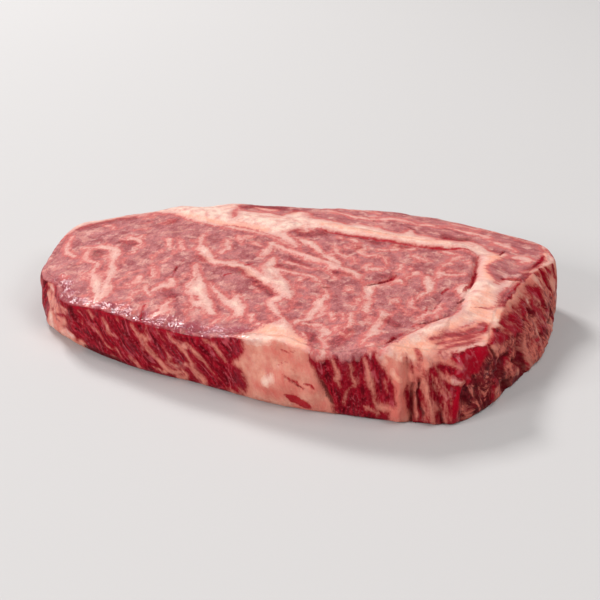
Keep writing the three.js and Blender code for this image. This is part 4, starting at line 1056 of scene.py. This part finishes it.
def side_rows(ring_at):
    """Rows of points down the side, from the edge of the face to the foot, and their shares down."""
    ex, ey = inner_point(ring_at, EDGE_ROUND)
    start = np.stack([ex, ey, top_height(ex, ey)], -1)
    corner, first = side_point(ring_at, 0.0), side_point(ring_at, ROUND_END)
    foot = flat(*plan_point(foot_edge, angle_at(ring_at)))
    foot_in = foot - FOOT_ROUND * flat(*outward(ring_at))
    last = side_point(ring_at, FOOT_START)
    # the edge is keen, but rolls over where the fibres of the eye run down the front
    sharp = KEEN - ROLL_SOFTENS * stretch(ROLLED_EDGE, ring_at)
    sharp = sharp - BLUNT_SOFTENS * stretch(BLUNT_EDGE, ring_at)
    rows, downs = [], []
    for t in np.linspace(0, 1, ROUND_ROWS + 1)[1:]:
        rows.append(rounded(start, corner, first, t, sharp[:, None]))
        downs.append(ROUND_END * t * t)
    for down in np.linspace(ROUND_END, FOOT_START, SIDE_ROWS + 1)[1:]:
        rows.append(side_point(ring_at, down))
        downs.append(down)
    for t in np.linspace(0, 1, FOOT_ROWS + 1)[1:]:
        rows.append(rounded(last, foot, foot_in, t))
        downs.append(FOOT_START + (1 - FOOT_START) * t)
    return np.array(rows), np.array(downs)


def side_wall(around):
    """Points, looks and fibre places of the side, row by row."""
    ring_at = GIRTH * np.arange(around) / around
    rows, downs = side_rows(ring_at)
    down = (downs[:, None] * np.ones(around)).ravel()
    at = (ring_at * np.ones((len(downs), 1))).ravel()
    spot = rows.reshape(-1, 3)
    looks, relief = side_looks(at, down, spot)
    fibre = side_fibre(spot, at, down * SIDE_HEIGHT)
    keep_face = face_share(at, down, spot, fibre)
    looks = np.array(looks)
    looks = looks + (np.array(face_looks(*spot.T)) - looks) * keep_face
    lift = (fine_side(at, spot, fibre) + relief) * stretch(RELIEF_RUN, down)
    normal = (flat(*outward(ring_at)) * np.ones_like(rows)).reshape(-1, 3)
    side = spot + normal * lift[:, None]
    side[:, 2] += fine_top(spot) * keep_face * (down < 0.5)
    return side, looks, fibre


def underside():
    """Points, looks and fibre places of the face that the steak lies on."""
    distance, share = net_places(UNDER_NET)
    ux, uy = plan_point(foot_edge, angle_at(distance))
    mx, my = outward(distance)
    under = flat((ux - mx * FOOT_ROUND) * share, (uy - my * FOOT_ROUND) * share).reshape(-1, 3)
    drifted = under + VEIN_DRIFT * flat(noise(under, 24, 16), noise(under, 24, 17))
    looks = np.array(face_looks(*(drifted * (0.99, 1.0, 1)).T))
    under[:, 2] = UNDER_LIFT * ease(1, 0.9, share.ravel()) * (1 + noise(under, 5, 18))
    return under, looks, under * (0.7, 1, 0.15) + UNDER_SHIFT


def under_faces(last_ring, first_number):
    """Faces of the underside's net, sewn to the side's last ring, which has twice as many points as its
    border, and the numbers of that border's points, which are then no longer used.
    """
    border = net_border(UNDER_NET) + first_number
    corners, halfway = last_ring[::2].tolist(), last_ring[1::2].tolist()
    same = dict(zip(border.tolist(), corners))
    between = {(a, b): m for a, b, m in zip(corners, corners[1:] + corners[:1], halfway)}
    faces = []
    for face in (net_faces(UNDER_NET)[:, ::-1] + first_number).tolist():
        loop = [same.get(v, v) for v in face]
        full = []
        for a, b in zip(loop, loop[1:] + loop[:1]):
            full.append(a)
            extra = between.get((a, b), between.get((b, a)))
            if extra is not None:
                full.append(extra)
        faces.append(full)
    return faces, border


def build_skin():
    """Points in mm, faces, texture places, looks and fibre places of the whole steak."""
    border = net_border(NET)
    around = len(border)
    parts = upper_face(), side_wall(around), underside()
    (top, *_), (side, *_), _ = parts
    points = np.concatenate([part[0] for part in parts])
    looks = np.concatenate([part[1] for part in parts], 1)
    fibres = np.concatenate([part[2] for part in parts])
    rings = np.concatenate([border[None], len(top) + np.arange(len(side)).reshape(-1, around)])
    ahead = np.roll(rings, -1, 1)
    strips = np.stack([rings[:-1], rings[1:], ahead[1:], ahead[:-1]], -1)
    lower, gone = under_faces(rings[-1], len(top) + len(side))
    # texture places, one for every corner of every face
    below = points[:, :2] * UNDER_MAP_SCALE + UNDER_MAP_CENTRE
    places = np.concatenate([
        top[net_faces(NET).ravel()][:, :2] * TOP_MAP_SCALE + TOP_MAP_CENTRE,
        side_places(points[rings]), below[[v for face in lower for v in face]]])
    faces = net_faces(NET).tolist() + strips.reshape(-1, 4).tolist() + lower
    # the border of the underside's own net gives way to the last ring
    kept = np.ones(len(points), bool)
    kept[gone] = False
    number = np.cumsum(kept) - 1
    faces = [[int(number[v]) for v in face] for face in faces]
    points[:, :2] += PLAN_SHIFT
    return points[kept], faces, places, looks[:, kept], fibres[kept]


# ------------------------------------------------------------------ settings a user would change
def linear(colour):
    """An sRGB hex value such as 0xD08582 as linear red, green, blue and alpha."""
    parts = [(colour >> shift & 255) / 255 for shift in (16, 8, 0)]
    return (*(c / 12.92 if c <= 0.04045 else ((c + 0.055) / 1.055)**2.4 for c in parts), 1.0)


def colour_setting(name, colour, description):
    """A colour that the user can change."""
    return FloatVectorProperty(name=name, description=description, subtype="COLOR", size=4, min=0, max=1,
                               default=linear(colour))


class SteakSettings(PropertyGroup):
    """Colours of the meat, and how coarse and how moist it is"""
    bloomed: colour_setting("Cut lean", 0xB77372, "Lean of the cut faces, paled by the air")
    bloomed_deep: colour_setting("Cut lean, deep", 0x93494D, "Darker bundles of the cut faces")
    mist: colour_setting("Cut lean with fine fat", 0xD29388, "Lean paled by fat too fine to see")
    rosy: colour_setting("Cut lean beside fat", 0xCA655F, "Clear pink red round the veins")
    # painted shade and painted sheen: lean wet with juice along the front edge of the top, made darker
    # where the edge turns from the light and lilac like a reflection of the sky
    juice_shade_and_sheen: colour_setting("Cut lean, wet", 0x96394A, "Lean under the juice along the front edge")
    crimson: colour_setting("Side lean", 0x920A1E, "Wet lean of the sides")
    strand: colour_setting("Pale thread", 0xC25660, "Pale threads between the fibres of the sides")
    frost: colour_setting("Frosted lean", 0x983846, "Greyed pink patches of the sides")
    # also the colour of the painted shade in creases and hollows
    crimson_deep: colour_setting("Side lean, deep", 0x58000C, "Deep lean between the fibres of the sides")
    fresh: colour_setting("Fresh cut", 0xA2031E, "Clear red where the muscle was cut last")
    tallow: colour_setting("Fat", 0xEFCDBC, "Thick fat")
    tallow_pink: colour_setting("Fat near lean", 0xD5A298, "Thin fat and its rosy edge")
    blush: colour_setting("Blush", 0xD46E62, "Blood-tinged places of the fat on the sides")
    peach: colour_setting("Peach", 0xF2A68C, "Blood-tinged places of the fat on the cut faces")
    tallow_side: colour_setting("Fat of the side", 0xDF9C88, "Thick fat where it comes out at the sides")
    vein: colour_setting("Veins of the side", 0xD0806F, "Thin fat between the fibres of the sides")
    tallow_dull: colour_setting("Torn fat", 0xE27A6A, "Torn fat of the broad end")
    membrane: colour_setting("Membrane", 0x8A2028, "Torn membrane of the broad end")
    # painted shade: the dark ground between the torn shreds, as in their hollows
    membrane_hollow_shade: colour_setting("Membrane, deep", 0x4C0610, "Hollows between the torn shreds")
    grain: FloatProperty(name="Grain", description="Width of the fibre bundles on the cut faces, in mm",
                         default=1.3, min=0.4, max=4)
    moisture: FloatProperty(name="Moisture", description="How much the juicy places shine",
                            default=0.9, min=0, max=1, subtype="FACTOR")


class StageSettings(PropertyGroup):
    """Floor and lights"""
    floor: colour_setting("Floor", 0xC3C0BF, "Pale plain floor")
    floor_width: FloatProperty(name="Floor width", description="Side of the square floor",
                               default=6.0, min=1, unit="LENGTH")
    key: FloatProperty(name="Key light", description="Power of the soft light behind and above",
                       default=22.0, min=0, unit="POWER")
    fill: FloatProperty(name="Fill light", description="Power of the pale light from the front left",
                        default=13.0, min=0, unit="POWER")
    side: FloatProperty(name="Side light", description="Power of the pale light on the broad end",
                        default=5.0, min=0, unit="POWER")
    low: FloatProperty(name="Low light", description="Power of the small light that glints on the front",
                       default=2.0, min=0, unit="POWER")
    top: FloatProperty(name="Top light", description="Power of the soft light overhead",
                       default=6.0, min=0, unit="POWER")
    sky: FloatProperty(name="Sky", description="Strength of the even light all round", default=0.2, min=0)


# ------------------------------------------------------------------ material
def add(nodes, kind, inputs, output=None, **settings):
    """Adds a shader node and returns an output; inputs maps a socket to a value or another output."""
    made = nodes.new("ShaderNode" + kind)
    for name, value in settings.items():
        setattr(made, name, value)
    for socket, value in inputs.items():
        if isinstance(value, bpy.types.NodeSocket):
            nodes.id_data.links.new(value, made.inputs[socket])
        else:
            made.inputs[socket].default_value = value
    return made.outputs[output] if output else next((o for o in made.outputs if o.enabled), None)


A, B = 6, 7                    # colour inputs of a Mix node
VECTOR_A, VECTOR_B = 4, 5      # and its vector inputs
WARP_SIZE = 3.0                # mm between the bends of the fibres
STRAND_WIDTH = 3.4             # width of a coarse strand, in fibre bundles


def beef_patterns(nodes, settings, look):
    """Noise of every scale in the meat, from bundles of fibres down to pores, by name."""
    fibre = add(nodes, "Attribute", {}, "Vector", attribute_name="fibre")
    here = add(nodes, "TexCoord", {}, "Object")
    mm = add(nodes, "VectorMath", {0: here, "Scale": 1 / MM}, operation="SCALE")
    warp = add(nodes, "TexNoise", {"Vector": fibre, "Scale": 1 / WARP_SIZE, "Detail": 2.0}, "Color")
    bent = add(nodes, "VectorMath", {0: fibre, 1: warp}, operation="ADD")
    torn = add(nodes, "Mix", {"Factor": 0.75, VECTOR_A: bent, VECTOR_B: mm}, data_type="VECTOR")

    # coordinates, size in mm, detail and roughness; the bundles are seen end-on on the cut faces and
    # lengthwise on the sides
    pattern = {}
    for name, place, size, detail, roughness in (
            ("threads", bent, settings.grain, 4.0, 0.7),
            ("strands", bent, STRAND_WIDTH * settings.grain, 5.0, 0.66),
            ("wander", bent, 6.5, 2.0, 0.5), ("rags", torn, 2.2, 6.0, 0.7), ("patches", mm, 11.0, 3.0, 0.6),
            ("gaps", mm, 5.0, 4.0, 0.6), ("mottle", mm, 3.5, 3.0, 0.6), ("pores", mm, 0.9, 3.0, 0.6),
            ("beads", mm, 1.0, 2.0, 0.5)):
        pattern[name] = add(nodes, "TexNoise", {"Vector": place, "Scale": 1 / size, "Detail": detail,
                                                "Roughness": roughness})
    grain = pattern["strands"]
    for part, other in ((0.3, "threads"), (0.2, "patches")):
        grain = add(nodes, "Mix", {"Factor": part, "A": grain, "B": pattern[other]})
    pattern["grain"] = grain
    ridge = add(nodes, "Math", {0: pattern["wander"], 1: 0.5}, operation="SUBTRACT")
    pattern["ridge"] = add(nodes, "Math", {0: ridge}, operation="ABSOLUTE")
    # the crimson of the side starts along a jagged line under the edge of the face
    for name, strength in (("jagged", 0.5), ("streaky", 1.6)):
        pattern[name] = add(nodes, "Math", {0: pattern["threads"], 1: strength, 2: look["red"]},
                            operation="MULTIPLY_ADD")
    return pattern


def beef_shares(nodes, pattern, look):
    """How much of each finish a place has, by name; each rises as its pattern goes between two marks."""
    share = {"dull": look["dull"]}
    for name, value, first, second, most in (
            # the juice also sets how much painted shade and sheen the lean takes
            ("flushed", look["red"], 0.0, 0.55, 0.6), ("juice_shade_and_sheen", look["wet"], 0.08, 0.55, 0.75),
            ("side", pattern["jagged"], 0.80, 0.92, 1.0), ("fresh", pattern["streaky"], 1.55, 2.0, 1.0),
            ("bundle", pattern["grain"], 0.40, 0.58, 1.0), ("flush", pattern["grain"], 0.3, 0.62, 1.0),
            ("rosy bundle", pattern["grain"], 0.54, 0.66, 0.6),
            ("thread", pattern["threads"], 0.38, 0.6, 1.0),
            ("pale thread", pattern["threads"], 0.58, 0.72, 0.55),
            ("fleck", pattern["threads"], 0.58, 0.72, 0.45), ("web", pattern["threads"], 0.47, 0.62, 0.85),
            ("rosy fat", pattern["strands"], 0.46, 0.7, 0.5), ("shred", pattern["rags"], 0.36, 0.6, 1.0),
            ("frost", pattern["patches"], 0.5, 0.66, 0.4), ("ridge", pattern["ridge"], 0.035, 0.004, 0.6),
            ("gaps", pattern["gaps"], 0.46, 0.6, 1.0), ("mist", pattern["gaps"], 0.48, 0.64, 0.6),
            ("mottle", pattern["mottle"], 0.28, 0.66, 1.0), ("pit", pattern["pores"], 0.48, 0.36, 0.45),
            ("speck", pattern["pores"], 0.54, 0.68, 0.4), ("bead", pattern["pores"], 0.46, 0.56, 1.0)):
        share[name] = add(nodes, "MapRange", {"Value": value, "From Min": first, "From Max": second,
                                              "To Max": most}, interpolation_type="SMOOTHSTEP")
    redness = add(nodes, "Math", {0: share["flushed"], 1: share["side"]}, operation="MAXIMUM")
    share["redness"] = redness

    # depth into the fat: it melts into the lean along a ragged line, more so on the cut faces
    spread = add(nodes, "MapRange", {"Value": redness, "To Min": 9.0, "To Max": 7.5})
    soft = add(nodes, "MapRange", {"Value": redness, "To Min": 0.8, "To Max": 1.3})
    ragged = add(nodes, "Mix", {"Factor": 0.6, "A": pattern["threads"], "B": pattern["strands"]})
    ragged = add(nodes, "Mix", {"Factor": 0.2, "A": ragged, "B": pattern["pores"]})
    ragged = add(nodes, "Math", {0: ragged, 1: 0.5}, operation="SUBTRACT")
    depth = add(nodes, "Math", {0: ragged, 1: spread, 2: look["fat"]}, operation="MULTIPLY_ADD")
    rough = add(nodes, "Math", {0: pattern["pores"], 1: 0.5}, operation="SUBTRACT")
    blood = add(nodes, "Math", {0: rough, 1: 1.2, 2: look["blood"]}, operation="MULTIPLY_ADD")
    # painted shade of the creases and hollows, with a ragged edge
    crease = add(nodes, "Math", {0: rough, 1: 1.5, 2: look["crease"]}, operation="MULTIPLY_ADD")
    for name, value, first, second, most in (
            ("beside fat", depth, -2.2, -0.4, 0.7), ("fat", depth, -0.7, soft, 0.97),
            ("thick", depth, 0.5, 3.2, 1.0), ("blood", blood, -0.3, 0.5, 0.92),
            ("crease", crease, -0.5, 0.2, 0.75)):
        share[name] = add(nodes, "MapRange", {"Value": value, "From Min": first, "From Max": second,
                                              "To Max": most}, interpolation_type="SMOOTHSTEP")
    for name, first, second, work in (
            ("ridge", share["ridge"], share["gaps"], "MULTIPLY"),
            ("thick", share["thick"], share["mottle"], "MULTIPLY"),
            ("flush", share["flush"], look["blush"], "MULTIPLY")):
        share[name] = add(nodes, "Math", {0: first, 1: second}, operation=work)
    share["fleck"] = add(nodes, "Math", {0: share["ridge"], 1: share["fleck"]}, operation="MAXIMUM")
    return share


def beef_colour(nodes, settings, share):
    """Colour of the meat: lean, then its fat, then blood and the painted shade of creases over both."""
    paint = {name: getattr(settings, name) for name in SteakSettings.__annotations__}
    # colours that differ between the pale cut faces and the crimson sides
    for name, face, side in (
            ("deep", "bloomed_deep", "crimson_deep"), ("pale", "rosy", "strand"),
            ("beside fat", "rosy", "crimson"), ("fleck", "tallow_pink", "strand"),
            ("thin fat", "tallow_pink", "vein"), ("thick fat", "tallow", "tallow_side"),
            ("flush", "peach", "blush")):
        paint[name] = add(nodes, "Mix", {"Factor": share["redness"], A: paint[face], B: paint[side]},
                          data_type="RGBA")
    # a ground, and layers over it, each a share and a colour
    for name, ground, layers in (
            ("cut lean", "bloomed_deep", (("bundle", "bloomed"), ("rosy bundle", "rosy"), ("mist", "mist"),
                                          # painted shade and sheen over the juice-wet lean
                                          ("juice_shade_and_sheen", "juice_shade_and_sheen"))),
            ("side lean", "crimson_deep", (("thread", "crimson"), ("pale thread", "strand"),
                                           ("frost", "frost"))),
            # painted shade between the torn shreds
            ("torn lean", "membrane_hollow_shade", (("shred", "membrane"), ("web", "tallow_dull"))),
            ("torn fat", "membrane", (("shred", "tallow_dull"),)),
            ("lean", "cut lean", (("redness", "side lean"), ("pit", "deep"), ("speck", "pale"),
                                  ("fresh", "fresh"), ("beside fat", "beside fat"), ("fleck", "fleck"),
                                  ("dull", "torn lean"))),
            ("fat", "thin fat", (("thick", "thick fat"), ("rosy fat", "rosy"), ("flush", "flush"),
                                 ("dull", "torn fat"))),
            # painted shade in the creases and hollows, over everything else
            ("meat", "lean", (("fat", "fat"), ("blood", "fresh"), ("crease", "crimson_deep")))):
        under = paint[ground]
        for part, colour in layers:
            under = add(nodes, "Mix", {"Factor": share[part], A: under, B: paint[colour]},
                        data_type="RGBA")
        paint[name] = under
    return paint["meat"]


def raw_beef(settings):
    """Raw beef, cut across the grain: satin mauve lean with cream marbling, wet crimson at the sides.

    Light goes a little way in before it comes back, which softens the edges of the fat, and a film of
    juice over it gives small broken glints.
    """
    material = bpy.data.materials.new("raw_beef_cut_surface")
    material.use_nodes = True
    nodes = material.node_tree.nodes
    nodes.clear()
    look = {name: add(nodes, "Attribute", {}, "Fac", attribute_name=name) for name in LOOKS}
    pattern = beef_patterns(nodes, settings, look)
    share = beef_shares(nodes, pattern, look)

    # thread ends stand a few tenths of a millimetre proud of each other; juice lies over them in beads
    height = add(nodes, "Mix", {"Factor": 0.5, "A": pattern["threads"], "B": pattern["pores"]})
    shaggy = add(nodes, "Math", {0: pattern["rags"], 1: look["dull"]}, operation="MULTIPLY")
    height = add(nodes, "Math", {0: shaggy, 1: 3.0, 2: height}, operation="MULTIPLY_ADD")
    bump = add(nodes, "Bump", {"Height": height, "Strength": 0.8, "Distance": 0.8 * MM})
    beads = add(nodes, "Bump", {"Height": pattern["beads"], "Strength": 1.0, "Distance": 0.24 * MM})
    dry = add(nodes, "MapRange", {"Value": pattern["pores"], "From Min": 0.3, "From Max": 0.7,
                                  "To Min": 0.34, "To Max": 0.52})
    gloss = add(nodes, "Mix", {"Factor": look["wet"], "A": dry, "B": 0.2})
    film = add(nodes, "Math", {0: look["wet"], 1: settings.moisture}, operation="MULTIPLY")
    film = add(nodes, "Math", {0: film, 1: share["bead"]}, operation="MULTIPLY")
    shader = add(nodes, "BsdfPrincipled", {
        "Base Color": beef_colour(nodes, settings, share), "Roughness": gloss, "IOR": 1.38,
        "Subsurface Weight": 0.12, "Subsurface Radius": (1.0, 0.35, 0.22), "Subsurface Scale": 1.6 * MM,
        "Coat Weight": film, "Coat Roughness": 0.06, "Coat IOR": 1.46, "Specular IOR Level": 0.07,
        "Normal": bump, "Coat Normal": beads})
    add(nodes, "OutputMaterial", {"Surface": shader})
    return material


# ------------------------------------------------------------------ operators
class SteakMeat(Operator):
    """Builds the steak: one skin with its marbling, fibrous sides and moist surface"""
    bl_idname = "mesh.steak_meat_add"
    bl_label = "Meat"

    def execute(self, context):
        points, faces, places, looks, fibres = build_skin()
        mesh = bpy.data.meshes.new("rib_eye_steak")
        mesh.from_pydata((points * MM).tolist(), [], faces)
        mesh.shade_smooth()
        mesh.uv_layers.new(name="OFBake").data.foreach_set("uv", places.ravel())
        for name, values in zip(LOOKS, looks):
            mesh.attributes.new(name, "FLOAT", "POINT").data.foreach_set("value", values)
        mesh.attributes.new("fibre", "FLOAT_VECTOR", "POINT").data.foreach_set("vector", fibres.ravel())
        if mesh.validate():
            raise RuntimeError("the skin of the steak has broken faces")
        steak = bpy.data.objects.new("rib_eye_steak", mesh)
        context.scene.collection.objects.link(steak)
        mesh.materials.append(raw_beef(context.scene.steak_settings))
        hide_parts("steak")
        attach(steak, "root")
        return {"FINISHED"}


# Camera in front of the steak, a little to the right: place in metres and line of sight.
CAMERA_PLACE = (0.16919, -0.40464, 0.232)
CAMERA_SIGHT = (-0.33378, 0.82612, -0.45399)
CAMERA_LENS = 75.0       # mm
CAMERA_SENSOR = 36.0     # its width in mm
CAMERA_RANGE = (0.01, 100.0)    # nearest and farthest thing in sight, in metres
LIGHT_TARGET = (0, 0, 0.015)    # what every light points at: the middle of the steak


class SteakStage(Operator):
    """Lays the pale floor and sets the soft lights and the camera"""
    bl_idname = "scene.steak_stage_add"
    bl_label = "Stage"

    def execute(self, context):
        scene, settings = context.scene, context.scene.steak_stage
        half = settings.floor_width / 2
        mesh = bpy.data.meshes.new("floor")
        mesh.from_pydata([(-half, -half, 0), (half, -half, 0), (half, half, 0), (-half, half, 0)], [],
                         [(0, 1, 2, 3)])
        floor = bpy.data.objects.new("floor", mesh)
        scene.collection.objects.link(floor)
        # matt paper: even and dull, so that nothing but the steak's soft shadow shows on it
        paper = bpy.data.materials.new("matt_paper_floor")
        paper.use_nodes = True
        shader = paper.node_tree.nodes["Principled BSDF"]
        shader.inputs["Base Color"].default_value = settings.floor
        shader.inputs["Roughness"].default_value = 0.9
        mesh.materials.append(paper)
        floor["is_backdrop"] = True

        for name, place, width, power in (
                ("key_light", (-0.99, 0.75, 1.16), 0.4, settings.key),
                ("fill_light", (-0.75, -1.1, 0.7), 0.5, settings.fill),
                ("side_light", (1.0, -0.3, 0.95), 0.4, settings.side),
                ("low_light", (-0.15, -1.5, 0.22), 0.2, settings.low),
                ("top_light", (0.5, 0.1, 1.5), 0.7, settings.top)):
            light = bpy.data.lights.new(name, "AREA")
            light.size, light.energy = width, power
            lamp = bpy.data.objects.new(name, light)
            lamp.location = place
            lamp.rotation_mode = "QUATERNION"
            lamp.rotation_quaternion = (Vector(LIGHT_TARGET) - lamp.location).to_track_quat("-Z", "Y")
            scene.collection.objects.link(lamp)

        world = bpy.data.worlds.new("even_studio_light")
        world.use_nodes = True
        sky = world.node_tree.nodes["Background"]
        sky.inputs["Color"].default_value = (1, 1, 1, 1)
        sky.inputs["Strength"].default_value = settings.sky
        scene.world = world

        camera = bpy.data.objects.new("camera", bpy.data.cameras.new("camera"))
        camera.data.lens, camera.data.sensor_width = CAMERA_LENS, CAMERA_SENSOR
        camera.data.clip_start, camera.data.clip_end = CAMERA_RANGE
        camera.location = CAMERA_PLACE
        camera.rotation_mode = "QUATERNION"
        camera.rotation_quaternion = Vector(CAMERA_SIGHT).to_track_quat("-Z", "Y")
        scene.collection.objects.link(camera)
        scene.camera = camera
        scene.view_settings.view_transform = "Standard"
        return {"FINISHED"}


class SteakPanel(Panel):
    """Settings and buttons of the steak in the sidebar"""
    bl_idname = "VIEW3D_PT_steak"
    bl_label = "Rib-eye steak"
    bl_space_type = "VIEW_3D"
    bl_region_type = "UI"
    bl_category = "Steak"

    def draw(self, context):
        for settings, operator in ((context.scene.steak_settings, SteakMeat),
                                   (context.scene.steak_stage, SteakStage)):
            box = self.layout.box()
            for name in settings.__annotations__:
                box.prop(settings, name)
            box.operator(operator.bl_idname)


CLASSES = (SteakSettings, StageSettings, SteakMeat, SteakStage, SteakPanel)


def register():
    """Makes the classes and their settings known to Blender."""
    for cls in CLASSES:
        bpy.utils.register_class(cls)
    bpy.types.Scene.steak_settings = PointerProperty(type=SteakSettings)
    bpy.types.Scene.steak_stage = PointerProperty(type=StageSettings)


def unregister():
    """Takes them away again."""
    del bpy.types.Scene.steak_settings, bpy.types.Scene.steak_stage
    for cls in reversed(CLASSES):
        bpy.utils.unregister_class(cls)


def main():
    """Builds the steak and its stage."""
    register()
    bpy.ops.mesh.steak_meat_add()
    bpy.ops.scene.steak_stage_add()
    boxes = {"cad": CAD_BOX, "visual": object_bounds()}
    {name: [list(corner) for corner in box] for name, box in boxes.items()}


if __name__ == "__main__":
    main()
